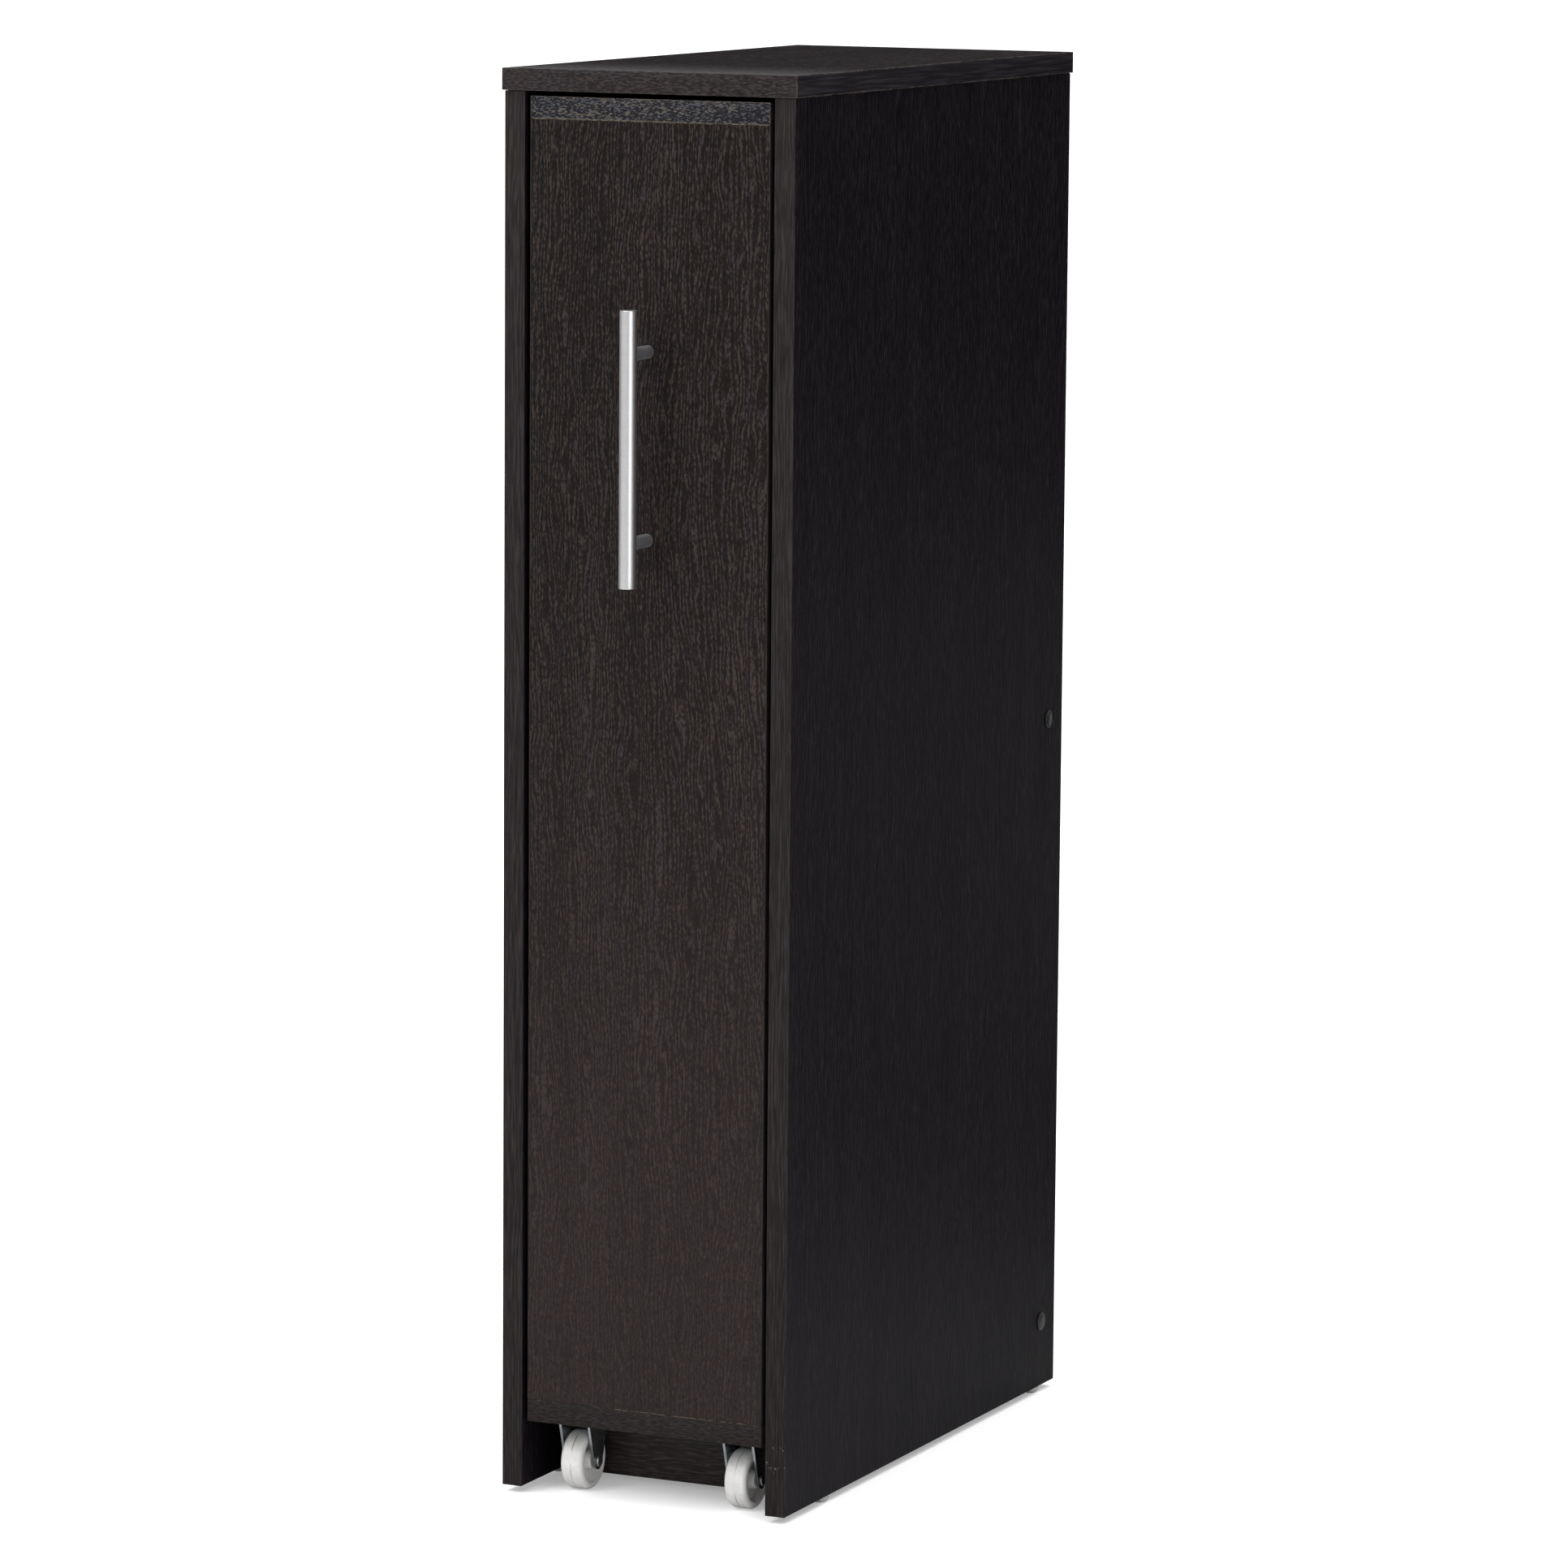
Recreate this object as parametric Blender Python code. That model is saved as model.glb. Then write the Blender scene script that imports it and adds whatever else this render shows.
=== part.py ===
"""A slim pantry cabinet on glides, holding a tall shelf cart that rolls out on four fixed casters.

Axes: X runs across the width, Y from the front to the back, Z up. The origin is on the floor, under
the middle of the whole object. The fixed shell and the cart are laid out from the driving dimensions
below, all in metres. The cart is shown pushed home.
"""

import math

import bmesh
import bpy
from mathutils import Matrix, Vector

# Clearances and finishing sizes.
SEAT = 0.0003  # gap between two pieces that touch
FIT = 0.0003  # radial room of a screw, pin or fitting in its hole
RUNNING = 0.00015  # radial room of the rivets in the wheels and forks
EDGE = 0.0005  # eased edge of the boards
ROUND = 24  # facets of a large round piece
SMALL_ROUND = 12  # facets of a small round piece or hole

# Shell.
BOARD = 0.015
SHELL_WIDTH = 0.217
SIDE_DEPTH = 0.475
SIDE_HEIGHT = 0.969
TOP_OVERHANG_SIDE = 0.0015
TOP_OVERHANG_FRONT = 0.0015
TOP_OVERHANG_REAR = 0.0005
GLIDE_HEIGHT = 0.005
GLIDE_RADIUS = 0.0065
GLIDE_FOOT_RADIUS = 0.0038
GLIDE_NAIL_RADIUS = 0.0011
GLIDE_NAIL_LENGTH = 0.014
GLIDE_INSET_FRONT = 0.073
GLIDE_INSET_REAR = 0.028
BACK_THICKNESS = 0.003
GROOVE_DEPTH = 0.005
REAR_RAIL_INSET = 0.026  # rear edge of the sides to the middle of the rear rails
REAR_RAIL_HEIGHT = 0.070
BOTTOM_RAIL_MIDDLE = 0.049  # above the bottom edge of the sides
MID_RAIL_MIDDLE = 0.499
KICK_ROOM = 0.0057  # front wheels to the kick rail behind them
KICK_TOP_ROOM = 0.005  # kick rail to the cart above it
RAIL_SCREW_RADIUS = 0.0025
RAIL_SCREW_HEAD_RADIUS = 0.0036
RAIL_SCREW_HEAD_LENGTH = 0.004
RAIL_SCREW_LENGTH = 0.048
RAIL_SCREW_SUNK = 0.0004  # screw head below the face of the side
SOCKET_RADIUS = 0.002
SOCKET_DEPTH = 0.003
CAP_RADIUS = 0.0068
CAP_HEIGHT = 0.0018
CAP_STEM_RADIUS = 0.0016
CAP_STEM_LENGTH = 0.0024
CAM_RADIUS = 0.0075
CAM_SKIN = 0.0028  # board left behind a cam
CAM_DROP = 0.034  # middle of a cam to the joint that it pulls shut
TOP_CAM_INSET = 0.060

# Cart.
CART_SIDE_GAP = 0.004
CART_REAR_GAP = 0.0055  # cart's rear to the rear rails
CART_RECESS = 0.001  # cart's face behind the front edges of the sides
CART_TOP_GAP = 0.0035
SHELF_COUNT = 3
SHELF_END_GAP = 0.0016
SHELF_SIDE_SETBACK = 0.001
PIN_RADIUS = 0.0025
PIN_DEPTH = 0.008
PIN_REACH = 0.008
PIN_COLLAR_RADIUS = 0.0038
PIN_COLLAR_THICKNESS = 0.0011
PIN_INSET = 0.030  # middle of a pin to the side of the cart
PIN_HOLE_PITCH = 0.032

# Handle.
HANDLE_SPACING = 0.128
HANDLE_LENGTH = 0.188
HANDLE_RADIUS = 0.006
HANDLE_CHAMFER = 0.0006
HANDLE_STANDOFF = 0.031  # cart's face to the axis of the bar
HANDLE_DROP = 0.234  # cart's top to the middle of the handle
POST_RADIUS = 0.0045
HANDLE_SCREW_RADIUS = 0.002
HANDLE_SCREW_HEAD_RADIUS = 0.004
HANDLE_SCREW_HEAD_HEIGHT = 0.0024
HANDLE_SCREW_GRIP = 0.011  # length of screw inside the post

# Casters.
WHEEL_RADIUS = 0.0205
WHEEL_WIDTH = 0.0166
WHEEL_SHOULDER = 0.0032
WHEEL_RIM = 0.0048  # thickness of the rim around the recess
WHEEL_RECESS = 0.0056
WHEEL_HUB_RADIUS = 0.0062
CASTER_INSET_SIDE = 0.0264  # side of the cart to the middle of a wheel
CASTER_INSET_END = 0.0338  # end of the cart to a wheel's axle
FORK_SHEET = 0.0018
FORK_GAP = 0.0019  # side of a wheel to the leg beside it
FORK_HEADROOM = 0.0089  # top of a wheel to the plate over it
FORK_TOP = 0.030  # width of a leg under the plate
FORK_FOOT_RADIUS = 0.0062
PLATE_LENGTH = 0.038
PLATE_WIDTH = 0.046
PLATE_HOLE_RADIUS = 0.0021
PLATE_HOLE_EDGE = 0.0052  # edge of the plate to the middle of a screw hole
RIVET_RADIUS = 0.0025
RIVET_HEAD_RADIUS = 0.0044
RIVET_HEAD_HEIGHT = 0.0016

# Places worked out from the driving dimensions.
HANDLE_REACH = HANDLE_STANDOFF + HANDLE_RADIUS - CART_RECESS
OVERALL_DEPTH = HANDLE_REACH + SIDE_DEPTH + TOP_OVERHANG_REAR
FRONT = HANDLE_REACH - OVERALL_DEPTH / 2  # front edges of the sides
REAR = FRONT + SIDE_DEPTH
INNER = SHELL_WIDTH / 2 - BOARD  # inner face of a side
UNDERSIDE = GLIDE_HEIGHT + SIDE_HEIGHT  # lower face of the top board
RAIL_FRONT = REAR - REAR_RAIL_INSET - BOARD / 2
RAIL_REAR = RAIL_FRONT + BOARD
BACK_FRONT = RAIL_REAR + SEAT
BACK_REAR = BACK_FRONT + BACK_THICKNESS
FACE = FRONT + CART_RECESS  # cart's face
CART_REAR = RAIL_FRONT - CART_REAR_GAP
CART_WIDTH = 2 * (INNER - CART_SIDE_GAP)
CART_TOP = UNDERSIDE - CART_TOP_GAP
CASTER_HEIGHT = 2 * WHEEL_RADIUS + FORK_HEADROOM + FORK_SHEET + SEAT
CART_INNER_BOTTOM = CASTER_HEIGHT + BOARD
CART_INNER_TOP = CART_TOP - BOARD
HANDLE_AXIS = FACE - HANDLE_STANDOFF
HANDLE_HEIGHT = CART_TOP - HANDLE_DROP
LEG_INNER = WHEEL_WIDTH / 2 + FORK_GAP
KICK_FRONT = FACE + CASTER_INSET_END + WHEEL_RADIUS + KICK_ROOM
KICK_TOP = CASTER_HEIGHT - KICK_TOP_ROOM
CAM_DEPTH = BOARD - CAM_SKIN

WENGE = ("dark_wenge", (0.030, 0.024, 0.023, 1), 0.5, 0.0)
WENGE_EDGE = ("wenge_edge_band", (0.045, 0.038, 0.036, 1), 0.5, 0.0)
HARDBOARD = ("brown_hardboard", (0.12, 0.07, 0.045, 1), 0.8, 0.0)
BLACK_PLASTIC = ("black_plastic", (0.012, 0.012, 0.013, 1), 0.35, 0.0)
CLEAR_NYLON = ("clear_nylon", (0.75, 0.75, 0.73, 1), 0.35, 0.0)
WHITE_NYLON = ("white_nylon", (0.80, 0.79, 0.76, 1), 0.45, 0.0)
SATIN_ALUMINIUM = ("satin_aluminium", (0.62, 0.62, 0.63, 1), 0.35, 1.0)
GREY_METAL = ("grey_post_metal", (0.12, 0.12, 0.13, 1), 0.4, 1.0)
ZINC = ("bright_zinc", (0.55, 0.57, 0.58, 1), 0.3, 1.0)
STEEL = ("screw_steel", (0.45, 0.45, 0.44, 1), 0.35, 1.0)


def clear_scene():
    """Empty the scene of whatever Blender starts with."""
    for obj in list(bpy.data.objects):
        bpy.data.objects.remove(obj, do_unlink=True)


def material(finish):
    """The material of this finish, made the first time it is asked for."""
    name, colour, roughness, metallic = finish
    found = bpy.data.materials.get(name)
    if found:
        return found
    made = bpy.data.materials.new(name)
    made.use_nodes = True
    shader = made.node_tree.nodes["Principled BSDF"]
    shader.inputs["Base Color"].default_value = colour
    shader.inputs["Roughness"].default_value = roughness
    shader.inputs["Metallic"].default_value = metallic
    made.diffuse_color = colour
    return made


def place(name, mesh, finish=None, parent=None, at=(0, 0, 0), turn=None):
    """Put a mesh in the scene as a named object, at a world position."""
    obj = bpy.data.objects.new(name, mesh)
    bpy.context.scene.collection.objects.link(obj)
    if finish:
        mesh.materials.append(material(finish))
    world = Matrix.Translation(Vector(at)) @ (turn or Matrix.Identity(4))
    if parent:
        obj.parent = parent
        world = Matrix.Translation(-parent.location) @ world
    obj.matrix_basis = world
    return obj


def joint_empty(name, at, parent=None):
    """An empty that carries what moves together."""
    empty = bpy.data.objects.new(name, None)
    bpy.context.scene.collection.objects.link(empty)
    empty.location = Vector(at)
    if parent:
        empty.parent = parent
        empty.location = Vector(at) - parent.location
    return empty


def mesh_from(bm, name):
    """Turn a bmesh into a mesh with its faces pointing out."""
    bmesh.ops.recalc_face_normals(bm, faces=bm.faces)
    mesh = bpy.data.meshes.new(name)
    bm.to_mesh(mesh)
    bm.free()
    return mesh


def add_box(bm, low, high, edge=0.0):
    """Add a box between two corners, with its edges eased."""
    size = [high[i] - low[i] for i in range(3)]
    middle = [(high[i] + low[i]) / 2 for i in range(3)]
    made = bmesh.ops.create_cube(bm, size=1.0)["verts"]
    bmesh.ops.scale(bm, vec=size, verts=made)
    bmesh.ops.translate(bm, vec=middle, verts=made)
    if edge:
        edges = {edge_line for vert in made for edge_line in vert.link_edges}
        bmesh.ops.bevel(bm, geom=list(edges), offset=edge, segments=1, affect="EDGES")


def add_turned(bm, profile, facets, axis, at=(0, 0, 0)):
    """Add a body turned about an axis through a point.

    The profile lists (radius, distance along the axis) from one end to the other. A radius of zero
    closes that end; a profile whose ends aren't at radius zero is closed on itself, as a ring.
    """
    turn = {"X": Matrix.Rotation(math.pi / 2, 4, "Y"), "Y": Matrix.Rotation(-math.pi / 2, 4, "X"),
            "Z": Matrix.Identity(4)}[axis]
    place_at = Matrix.Translation(Vector(at)) @ turn
    rings = []
    for radius, along in profile:
        if radius == 0:
            rings.append([bm.verts.new(place_at @ Vector((0, 0, along)))])
            continue
        angles = [2 * math.pi * i / facets for i in range(facets)]
        rings.append([
            bm.verts.new(place_at @ Vector((radius * math.cos(a), radius * math.sin(a), along)))
            for a in angles
        ])
    if profile[0][0] != 0:
        rings.append(rings[0])
    for lower, upper in zip(rings, rings[1:]):
        for i in range(facets):
            j = (i + 1) % facets
            if len(lower) == 1:
                bm.faces.new((lower[0], upper[i], upper[j]))
            elif len(upper) == 1:
                bm.faces.new((lower[i], lower[j], upper[0]))
            else:
                bm.faces.new((lower[i], lower[j], upper[j], upper[i]))


def rod_profile(radius, start, end):
    """Profile of a plain rod."""
    return [(0, start), (radius, start), (radius, end), (0, end)]


def turned(name, profile, facets, axis, finish, parent=None, at=(0, 0, 0)):
    """A turned piece as its own object, with its origin at its place."""
    bm = bmesh.new()
    add_turned(bm, profile, facets, axis)
    mesh = mesh_from(bm, name)
    mesh.shade_smooth()
    mesh.set_sharp_from_angle(angle=math.radians(35))
    return place(name, mesh, finish, parent, at)


def board(name, low, high, finish, parent=None, cut=None):
    """A board between two corners of the shell or cart, with the holes and grooves that cut adds.

    cut is a function that draws the tools into an empty bmesh, in world coordinates.
    """
    middle = [(low[i] + high[i]) / 2 for i in range(3)]
    bm = bmesh.new()
    add_box(bm, [low[i] - middle[i] for i in range(3)], [high[i] - middle[i] for i in range(3)], EDGE)
    obj = place(name, mesh_from(bm, name), finish, parent, middle)
    if cut:
        cut_with(obj, cut)
    return obj


def cut_with(obj, draw):
    """Cut hidden tools out of an object."""
    bm = bmesh.new()
    draw(bm)
    tool = place(obj.name + "_tools", mesh_from(bm, obj.name + "_tools"))
    tool.hide_render = True
    tool.display_type = "WIRE"
    boolean = obj.modifiers.new("holes", "BOOLEAN")
    boolean.operation = "DIFFERENCE"
    boolean.object = tool


def rail_screw_heights():
    """Heights of the two rows of screws that hold the rear rails."""
    return {"bottom": GLIDE_HEIGHT + BOTTOM_RAIL_MIDDLE, "mid": GLIDE_HEIGHT + MID_RAIL_MIDDLE}


def glide_places():
    """Middle of each glide, seen from above: (side, front or rear, x, y)."""
    x = SHELL_WIDTH / 2 - BOARD / 2
    rows = {"front": FRONT + GLIDE_INSET_FRONT, "rear": REAR - GLIDE_INSET_REAR}
    return [(side, row, sign * x, y) for side, sign in (("left", -1), ("right", 1))
            for row, y in rows.items()]


def top_cam_places():
    """Distance back of the two cams in each side."""
    return {"front": FRONT + TOP_CAM_INSET, "rear": REAR - TOP_CAM_INSET}


def draw_side_tools(bm, sign):
    """Groove, screw holes, cam pockets and nail holes of one side."""
    groove = sorted((sign * (INNER - BOARD), sign * (INNER + GROOVE_DEPTH + SEAT)))
    add_box(bm, (groove[0], BACK_FRONT - SEAT, 0), (groove[1], BACK_REAR + SEAT, UNDERSIDE + BOARD))
    outer = SHELL_WIDTH / 2
    seat = outer - RAIL_SCREW_SUNK - RAIL_SCREW_HEAD_LENGTH - SEAT
    head = RAIL_SCREW_HEAD_RADIUS + FIT
    shank = RAIL_SCREW_RADIUS + FIT
    for height in rail_screw_heights().values():
        hole = [(0, INNER - BOARD), (shank, INNER - BOARD), (shank, seat), (head, seat),
                (head, outer + BOARD), (0, outer + BOARD)]
        hole = [(radius, sign * along) for radius, along in hole]
        add_turned(bm, hole, SMALL_ROUND, "X", (0, REAR - REAR_RAIL_INSET, height))
    for y in top_cam_places().values():
        pocket = rod_profile(CAM_RADIUS + FIT, sign * (INNER - BOARD), sign * (INNER + CAM_DEPTH + FIT))
        add_turned(bm, pocket, SMALL_ROUND, "X", (0, y, UNDERSIDE - CAM_DROP))
    for side, row, x, y in glide_places():
        if x * sign > 0:
            nail = rod_profile(GLIDE_NAIL_RADIUS + FIT, 0, GLIDE_HEIGHT + GLIDE_NAIL_LENGTH + FIT)
            add_turned(bm, nail, SMALL_ROUND, "Z", (x, y, 0))


def build_sides():
    """The two sides of the shell."""
    for name, sign in (("left_side", -1), ("right_side", 1)):
        x = sorted((sign * INNER, sign * SHELL_WIDTH / 2))
        board(name, (x[0], FRONT, GLIDE_HEIGHT), (x[1], REAR, UNDERSIDE - SEAT), WENGE,
              cut=lambda bm, sign=sign: draw_side_tools(bm, sign))


def build_top():
    """The top board, grooved for the back."""
    half = SHELL_WIDTH / 2 + TOP_OVERHANG_SIDE
    slot = INNER + GROOVE_DEPTH + SEAT

    def draw(bm):
        add_box(bm, (-slot, BACK_FRONT - SEAT, UNDERSIDE - BOARD),
                (slot, BACK_REAR + SEAT, UNDERSIDE + GROOVE_DEPTH + SEAT))

    board("top_board", (-half, FRONT - TOP_OVERHANG_FRONT, UNDERSIDE),
          (half, REAR + TOP_OVERHANG_REAR, UNDERSIDE + BOARD), WENGE_EDGE, cut=draw)


def build_back():
    """The thin back, held in grooves."""
    half = INNER + GROOVE_DEPTH
    low = GLIDE_HEIGHT + BOTTOM_RAIL_MIDDLE - REAR_RAIL_HEIGHT / 2
    bm = bmesh.new()
    add_box(bm, (-half, BACK_FRONT, low), (half, BACK_REAR, UNDERSIDE + GROOVE_DEPTH))
    place("back_panel", mesh_from(bm, "back_panel"), HARDBOARD)


def build_rear_rails():
    """The two rear rails, bored for the screws that come through the sides."""
    half = INNER - SEAT
    tip = SHELL_WIDTH / 2 - RAIL_SCREW_SUNK - RAIL_SCREW_LENGTH - FIT
    for row, height in rail_screw_heights().items():

        def draw(bm, height=height):
            for sign in (-1, 1):
                hole = rod_profile(RAIL_SCREW_RADIUS + FIT, sign * tip, sign * (half + BOARD))
                add_turned(bm, hole, SMALL_ROUND, "X", (0, REAR - REAR_RAIL_INSET, height))

        board(f"rear_{row}_rail", (-half, RAIL_FRONT, height - REAR_RAIL_HEIGHT / 2),
              (half, RAIL_REAR, height + REAR_RAIL_HEIGHT / 2), WENGE, cut=draw)


def build_kick_rail():
    """The low rail behind the front casters, which also stops the rear casters, with its cams."""
    half = INNER - SEAT
    rear = KICK_FRONT + BOARD
    height = (GLIDE_HEIGHT + KICK_TOP) / 2
    cam_x = INNER - CAM_DROP

    def draw(bm):
        for sign in (-1, 1):
            pocket = rod_profile(CAM_RADIUS + FIT, -CAM_DEPTH - FIT, BOARD)
            add_turned(bm, pocket, SMALL_ROUND, "Y", (sign * cam_x, rear, height))

    board("kick_rail", (-half, KICK_FRONT, GLIDE_HEIGHT), (half, rear, KICK_TOP), WENGE, cut=draw)
    for side, sign in (("left", -1), ("right", 1)):
        turned(f"kick_cam_{side}", cam_profile(1), SMALL_ROUND, "Y", STEEL, at=(sign * cam_x, rear, height))


def cam_profile(outward):
    """Profile of a cam fitting whose face lies at zero and whose body runs the other way."""
    dish = CAM_RADIUS / 2
    points = [(0, -CAM_DEPTH), (CAM_RADIUS, -CAM_DEPTH), (CAM_RADIUS, -SEAT),
              (dish, -SEAT), (dish * 0.8, -SEAT - dish / 2), (0, -SEAT - dish / 2)]
    return [(radius, outward * along) for radius, along in points]


def build_top_cams():
    """The cams in the sides that pull the top board down."""
    for side, sign in (("left", -1), ("right", 1)):
        for row, y in top_cam_places().items():
            turned(f"top_cam_{side}_{row}", cam_profile(-sign), SMALL_ROUND, "X", STEEL,
                   at=(sign * INNER, y, UNDERSIDE - CAM_DROP))


def build_rail_screws():
    """The screws of the rear rails and the domed caps that hide their heads."""
    for side, sign in (("left", -1), ("right", 1)):
        for row, height in rail_screw_heights().items():
            place_at = (sign * SHELL_WIDTH / 2, REAR - REAR_RAIL_INSET, height)
            under = -RAIL_SCREW_SUNK
            neck = under - RAIL_SCREW_HEAD_LENGTH
            tip = under - RAIL_SCREW_LENGTH
            point = RAIL_SCREW_RADIUS
            screw = [(0, under - SOCKET_DEPTH), (SOCKET_RADIUS, under - SOCKET_DEPTH),
                     (SOCKET_RADIUS, under), (RAIL_SCREW_HEAD_RADIUS, under),
                     (RAIL_SCREW_HEAD_RADIUS, neck), (RAIL_SCREW_RADIUS, neck),
                     (RAIL_SCREW_RADIUS, tip + point), (RAIL_SCREW_RADIUS / 3, tip), (0, tip)]
            screw = [(radius, sign * along) for radius, along in screw]
            turned(f"rail_screw_{side}_{row}", screw, SMALL_ROUND, "X", STEEL, at=place_at)
            cap = [(radius, sign * along) for radius, along in cap_profile()]
            turned(f"cover_cap_{side}_{row}", cap, SMALL_ROUND, "X", BLACK_PLASTIC, at=place_at)


def cap_profile():
    """Profile of a cover cap: a stem in the screw's socket under a low dome."""
    stem = -CAP_STEM_LENGTH
    points = [(0, stem), (CAP_STEM_RADIUS, stem), (CAP_STEM_RADIUS, SEAT), (CAP_RADIUS, SEAT)]
    brim = CAP_HEIGHT * 0.3
    steps = 3
    for i in range(steps):
        turn = math.pi / 2 * i / steps
        points.append((CAP_RADIUS * math.cos(turn), brim + (CAP_HEIGHT - brim) * math.sin(turn)))
    return points + [(0, CAP_HEIGHT)]


def build_glides():
    """The nylon glides nailed under the sides."""
    head = GLIDE_HEIGHT - SEAT
    nail = GLIDE_HEIGHT + GLIDE_NAIL_LENGTH
    steps = 3
    profile = [(0, 0)]
    for i in range(steps + 1):
        turn = math.pi / 2 * i / steps
        radius = GLIDE_FOOT_RADIUS + (GLIDE_RADIUS - GLIDE_FOOT_RADIUS) * math.sin(turn)
        profile.append((radius, head * 0.75 * (1 - math.cos(turn))))
    profile += [(GLIDE_RADIUS, head), (GLIDE_NAIL_RADIUS, head),
                (GLIDE_NAIL_RADIUS, nail - 2 * GLIDE_NAIL_RADIUS), (0, nail)]
    for side, row, x, y in glide_places():
        turned(f"glide_{side}_{row}", profile, SMALL_ROUND, "Z", CLEAR_NYLON, at=(x, y, 0))


def shelf_heights():
    """Height of the lower face of each shelf, which share the inside of the cart equally."""
    inside = CART_INNER_TOP - CART_INNER_BOTTOM
    pitch = (inside - SHELF_COUNT * BOARD) / (SHELF_COUNT + 1) + BOARD
    names = ("lower", "middle", "upper")
    return {names[i]: CART_INNER_BOTTOM + pitch * (i + 1) - BOARD for i in range(SHELF_COUNT)}


def pin_places():
    """Axis of each shelf pin: (shelf, side, x, z). The middle shelf is fixed and has none."""
    x = CART_WIDTH / 2 - PIN_INSET
    return [(shelf, side, sign * x, height - PIN_RADIUS - SEAT)
            for shelf, height in shelf_heights().items() if shelf != "middle"
            for side, sign in (("left", -1), ("right", 1))]


def handle_post_heights():
    """Height of each handle post."""
    return {"upper": HANDLE_HEIGHT + HANDLE_SPACING / 2, "lower": HANDLE_HEIGHT - HANDLE_SPACING / 2}


def draw_pin_holes(bm, inner, into):
    """Rows of shelf pin holes in an end panel; into is the direction into the panel along Y."""
    for shelf, side, x, z in pin_places():
        for step in (-1, 0, 1):
            hole = rod_profile(PIN_RADIUS + FIT, -into * BOARD, into * (PIN_DEPTH + FIT))
            add_turned(bm, hole, SMALL_ROUND, "Y", (x, inner, z + step * PIN_HOLE_PITCH))


def build_cart_boards(cart):
    """The front, rear, top and bottom boards of the cart."""
    half = CART_WIDTH / 2
    front_inner = FACE + BOARD
    rear_inner = CART_REAR - BOARD
    for name, low in (("cart_bottom_board", CASTER_HEIGHT), ("cart_top_board", CART_INNER_TOP)):
        board(name, (-half, FACE, low), (half, CART_REAR, low + BOARD), WENGE_EDGE, cart)

    def draw_front(bm):
        draw_pin_holes(bm, front_inner, -1)
        for height in handle_post_heights().values():
            hole = rod_profile(HANDLE_SCREW_RADIUS + FIT, -BOARD, 2 * BOARD)
            add_turned(bm, hole, SMALL_ROUND, "Y", (0, FACE, height))

    low = CART_INNER_BOTTOM + SEAT
    high = CART_INNER_TOP - SEAT
    board("cart_front", (-half, FACE, low), (half, front_inner, high), WENGE, cart, draw_front)
    board("cart_rear", (-half, rear_inner, low), (half, CART_REAR, high), WENGE, cart,
          lambda bm: draw_pin_holes(bm, rear_inner, 1))


def build_shelves(cart):
    """The shelves, and the pins under the two that can be moved."""
    half = CART_WIDTH / 2 - SHELF_SIDE_SETBACK
    front = FACE + BOARD
    rear = CART_REAR - BOARD
    for shelf, height in shelf_heights().items():
        gap = SEAT if shelf == "middle" else SHELF_END_GAP
        board(f"shelf_{shelf}", (-half, front + gap, height), (half, rear - gap, height + BOARD), WENGE, cart)
    collar = SEAT + PIN_COLLAR_THICKNESS
    for shelf, side, x, z in pin_places():
        for row, y, inward in (("front", front, 1), ("rear", rear, -1)):
            pin = [(0, -PIN_DEPTH), (PIN_RADIUS, -PIN_DEPTH), (PIN_RADIUS, SEAT), (PIN_COLLAR_RADIUS, SEAT),
                   (PIN_COLLAR_RADIUS, collar), (PIN_RADIUS, collar), (PIN_RADIUS, PIN_REACH), (0, PIN_REACH)]
            pin = [(radius, inward * along) for radius, along in pin]
            turned(f"shelf_pin_{shelf}_{side}_{row}", pin, SMALL_ROUND, "Y", STEEL, cart, (x, y, z))


def build_handle(cart):
    """The bar, its two posts and the screws that come through the cart's front."""
    half = HANDLE_LENGTH / 2
    inner = HANDLE_RADIUS - HANDLE_CHAMFER
    bar = [(0, -half), (inner, -half), (HANDLE_RADIUS, HANDLE_CHAMFER - half),
           (HANDLE_RADIUS, half - HANDLE_CHAMFER), (inner, half), (0, half)]
    turned("handle_bar", bar, ROUND, "Z", SATIN_ALUMINIUM, cart, (0, HANDLE_AXIS, HANDLE_HEIGHT))
    bore = HANDLE_SCREW_RADIUS + FIT
    depth = HANDLE_SCREW_GRIP + FIT

    def draw_saddle(bm):
        notch = rod_profile(HANDLE_RADIUS + SEAT, -HANDLE_SPACING, HANDLE_SPACING)
        add_turned(bm, notch, ROUND, "Z", (0, HANDLE_AXIS, HANDLE_HEIGHT))

    for row, height in handle_post_heights().items():
        post = [(0, -depth), (bore, -depth), (bore, -SEAT), (POST_RADIUS, -SEAT),
                (POST_RADIUS, -HANDLE_STANDOFF), (0, -HANDLE_STANDOFF)]
        made = turned(f"handle_post_{row}", post, ROUND, "Y", GREY_METAL, cart, (0, FACE, height))
        cut_with(made, draw_saddle)
        under = BOARD + SEAT
        top = under + HANDLE_SCREW_HEAD_HEIGHT
        rim = HANDLE_SCREW_HEAD_RADIUS
        screw = [(0, -HANDLE_SCREW_GRIP), (HANDLE_SCREW_RADIUS, -HANDLE_SCREW_GRIP),
                 (HANDLE_SCREW_RADIUS, under), (rim, under), (rim, under + (top - under) / 2),
                 (rim * 0.7, top), (0, top)]
        turned(f"handle_screw_{row}", screw, SMALL_ROUND, "Y", STEEL, cart, (0, FACE, height))


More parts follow.
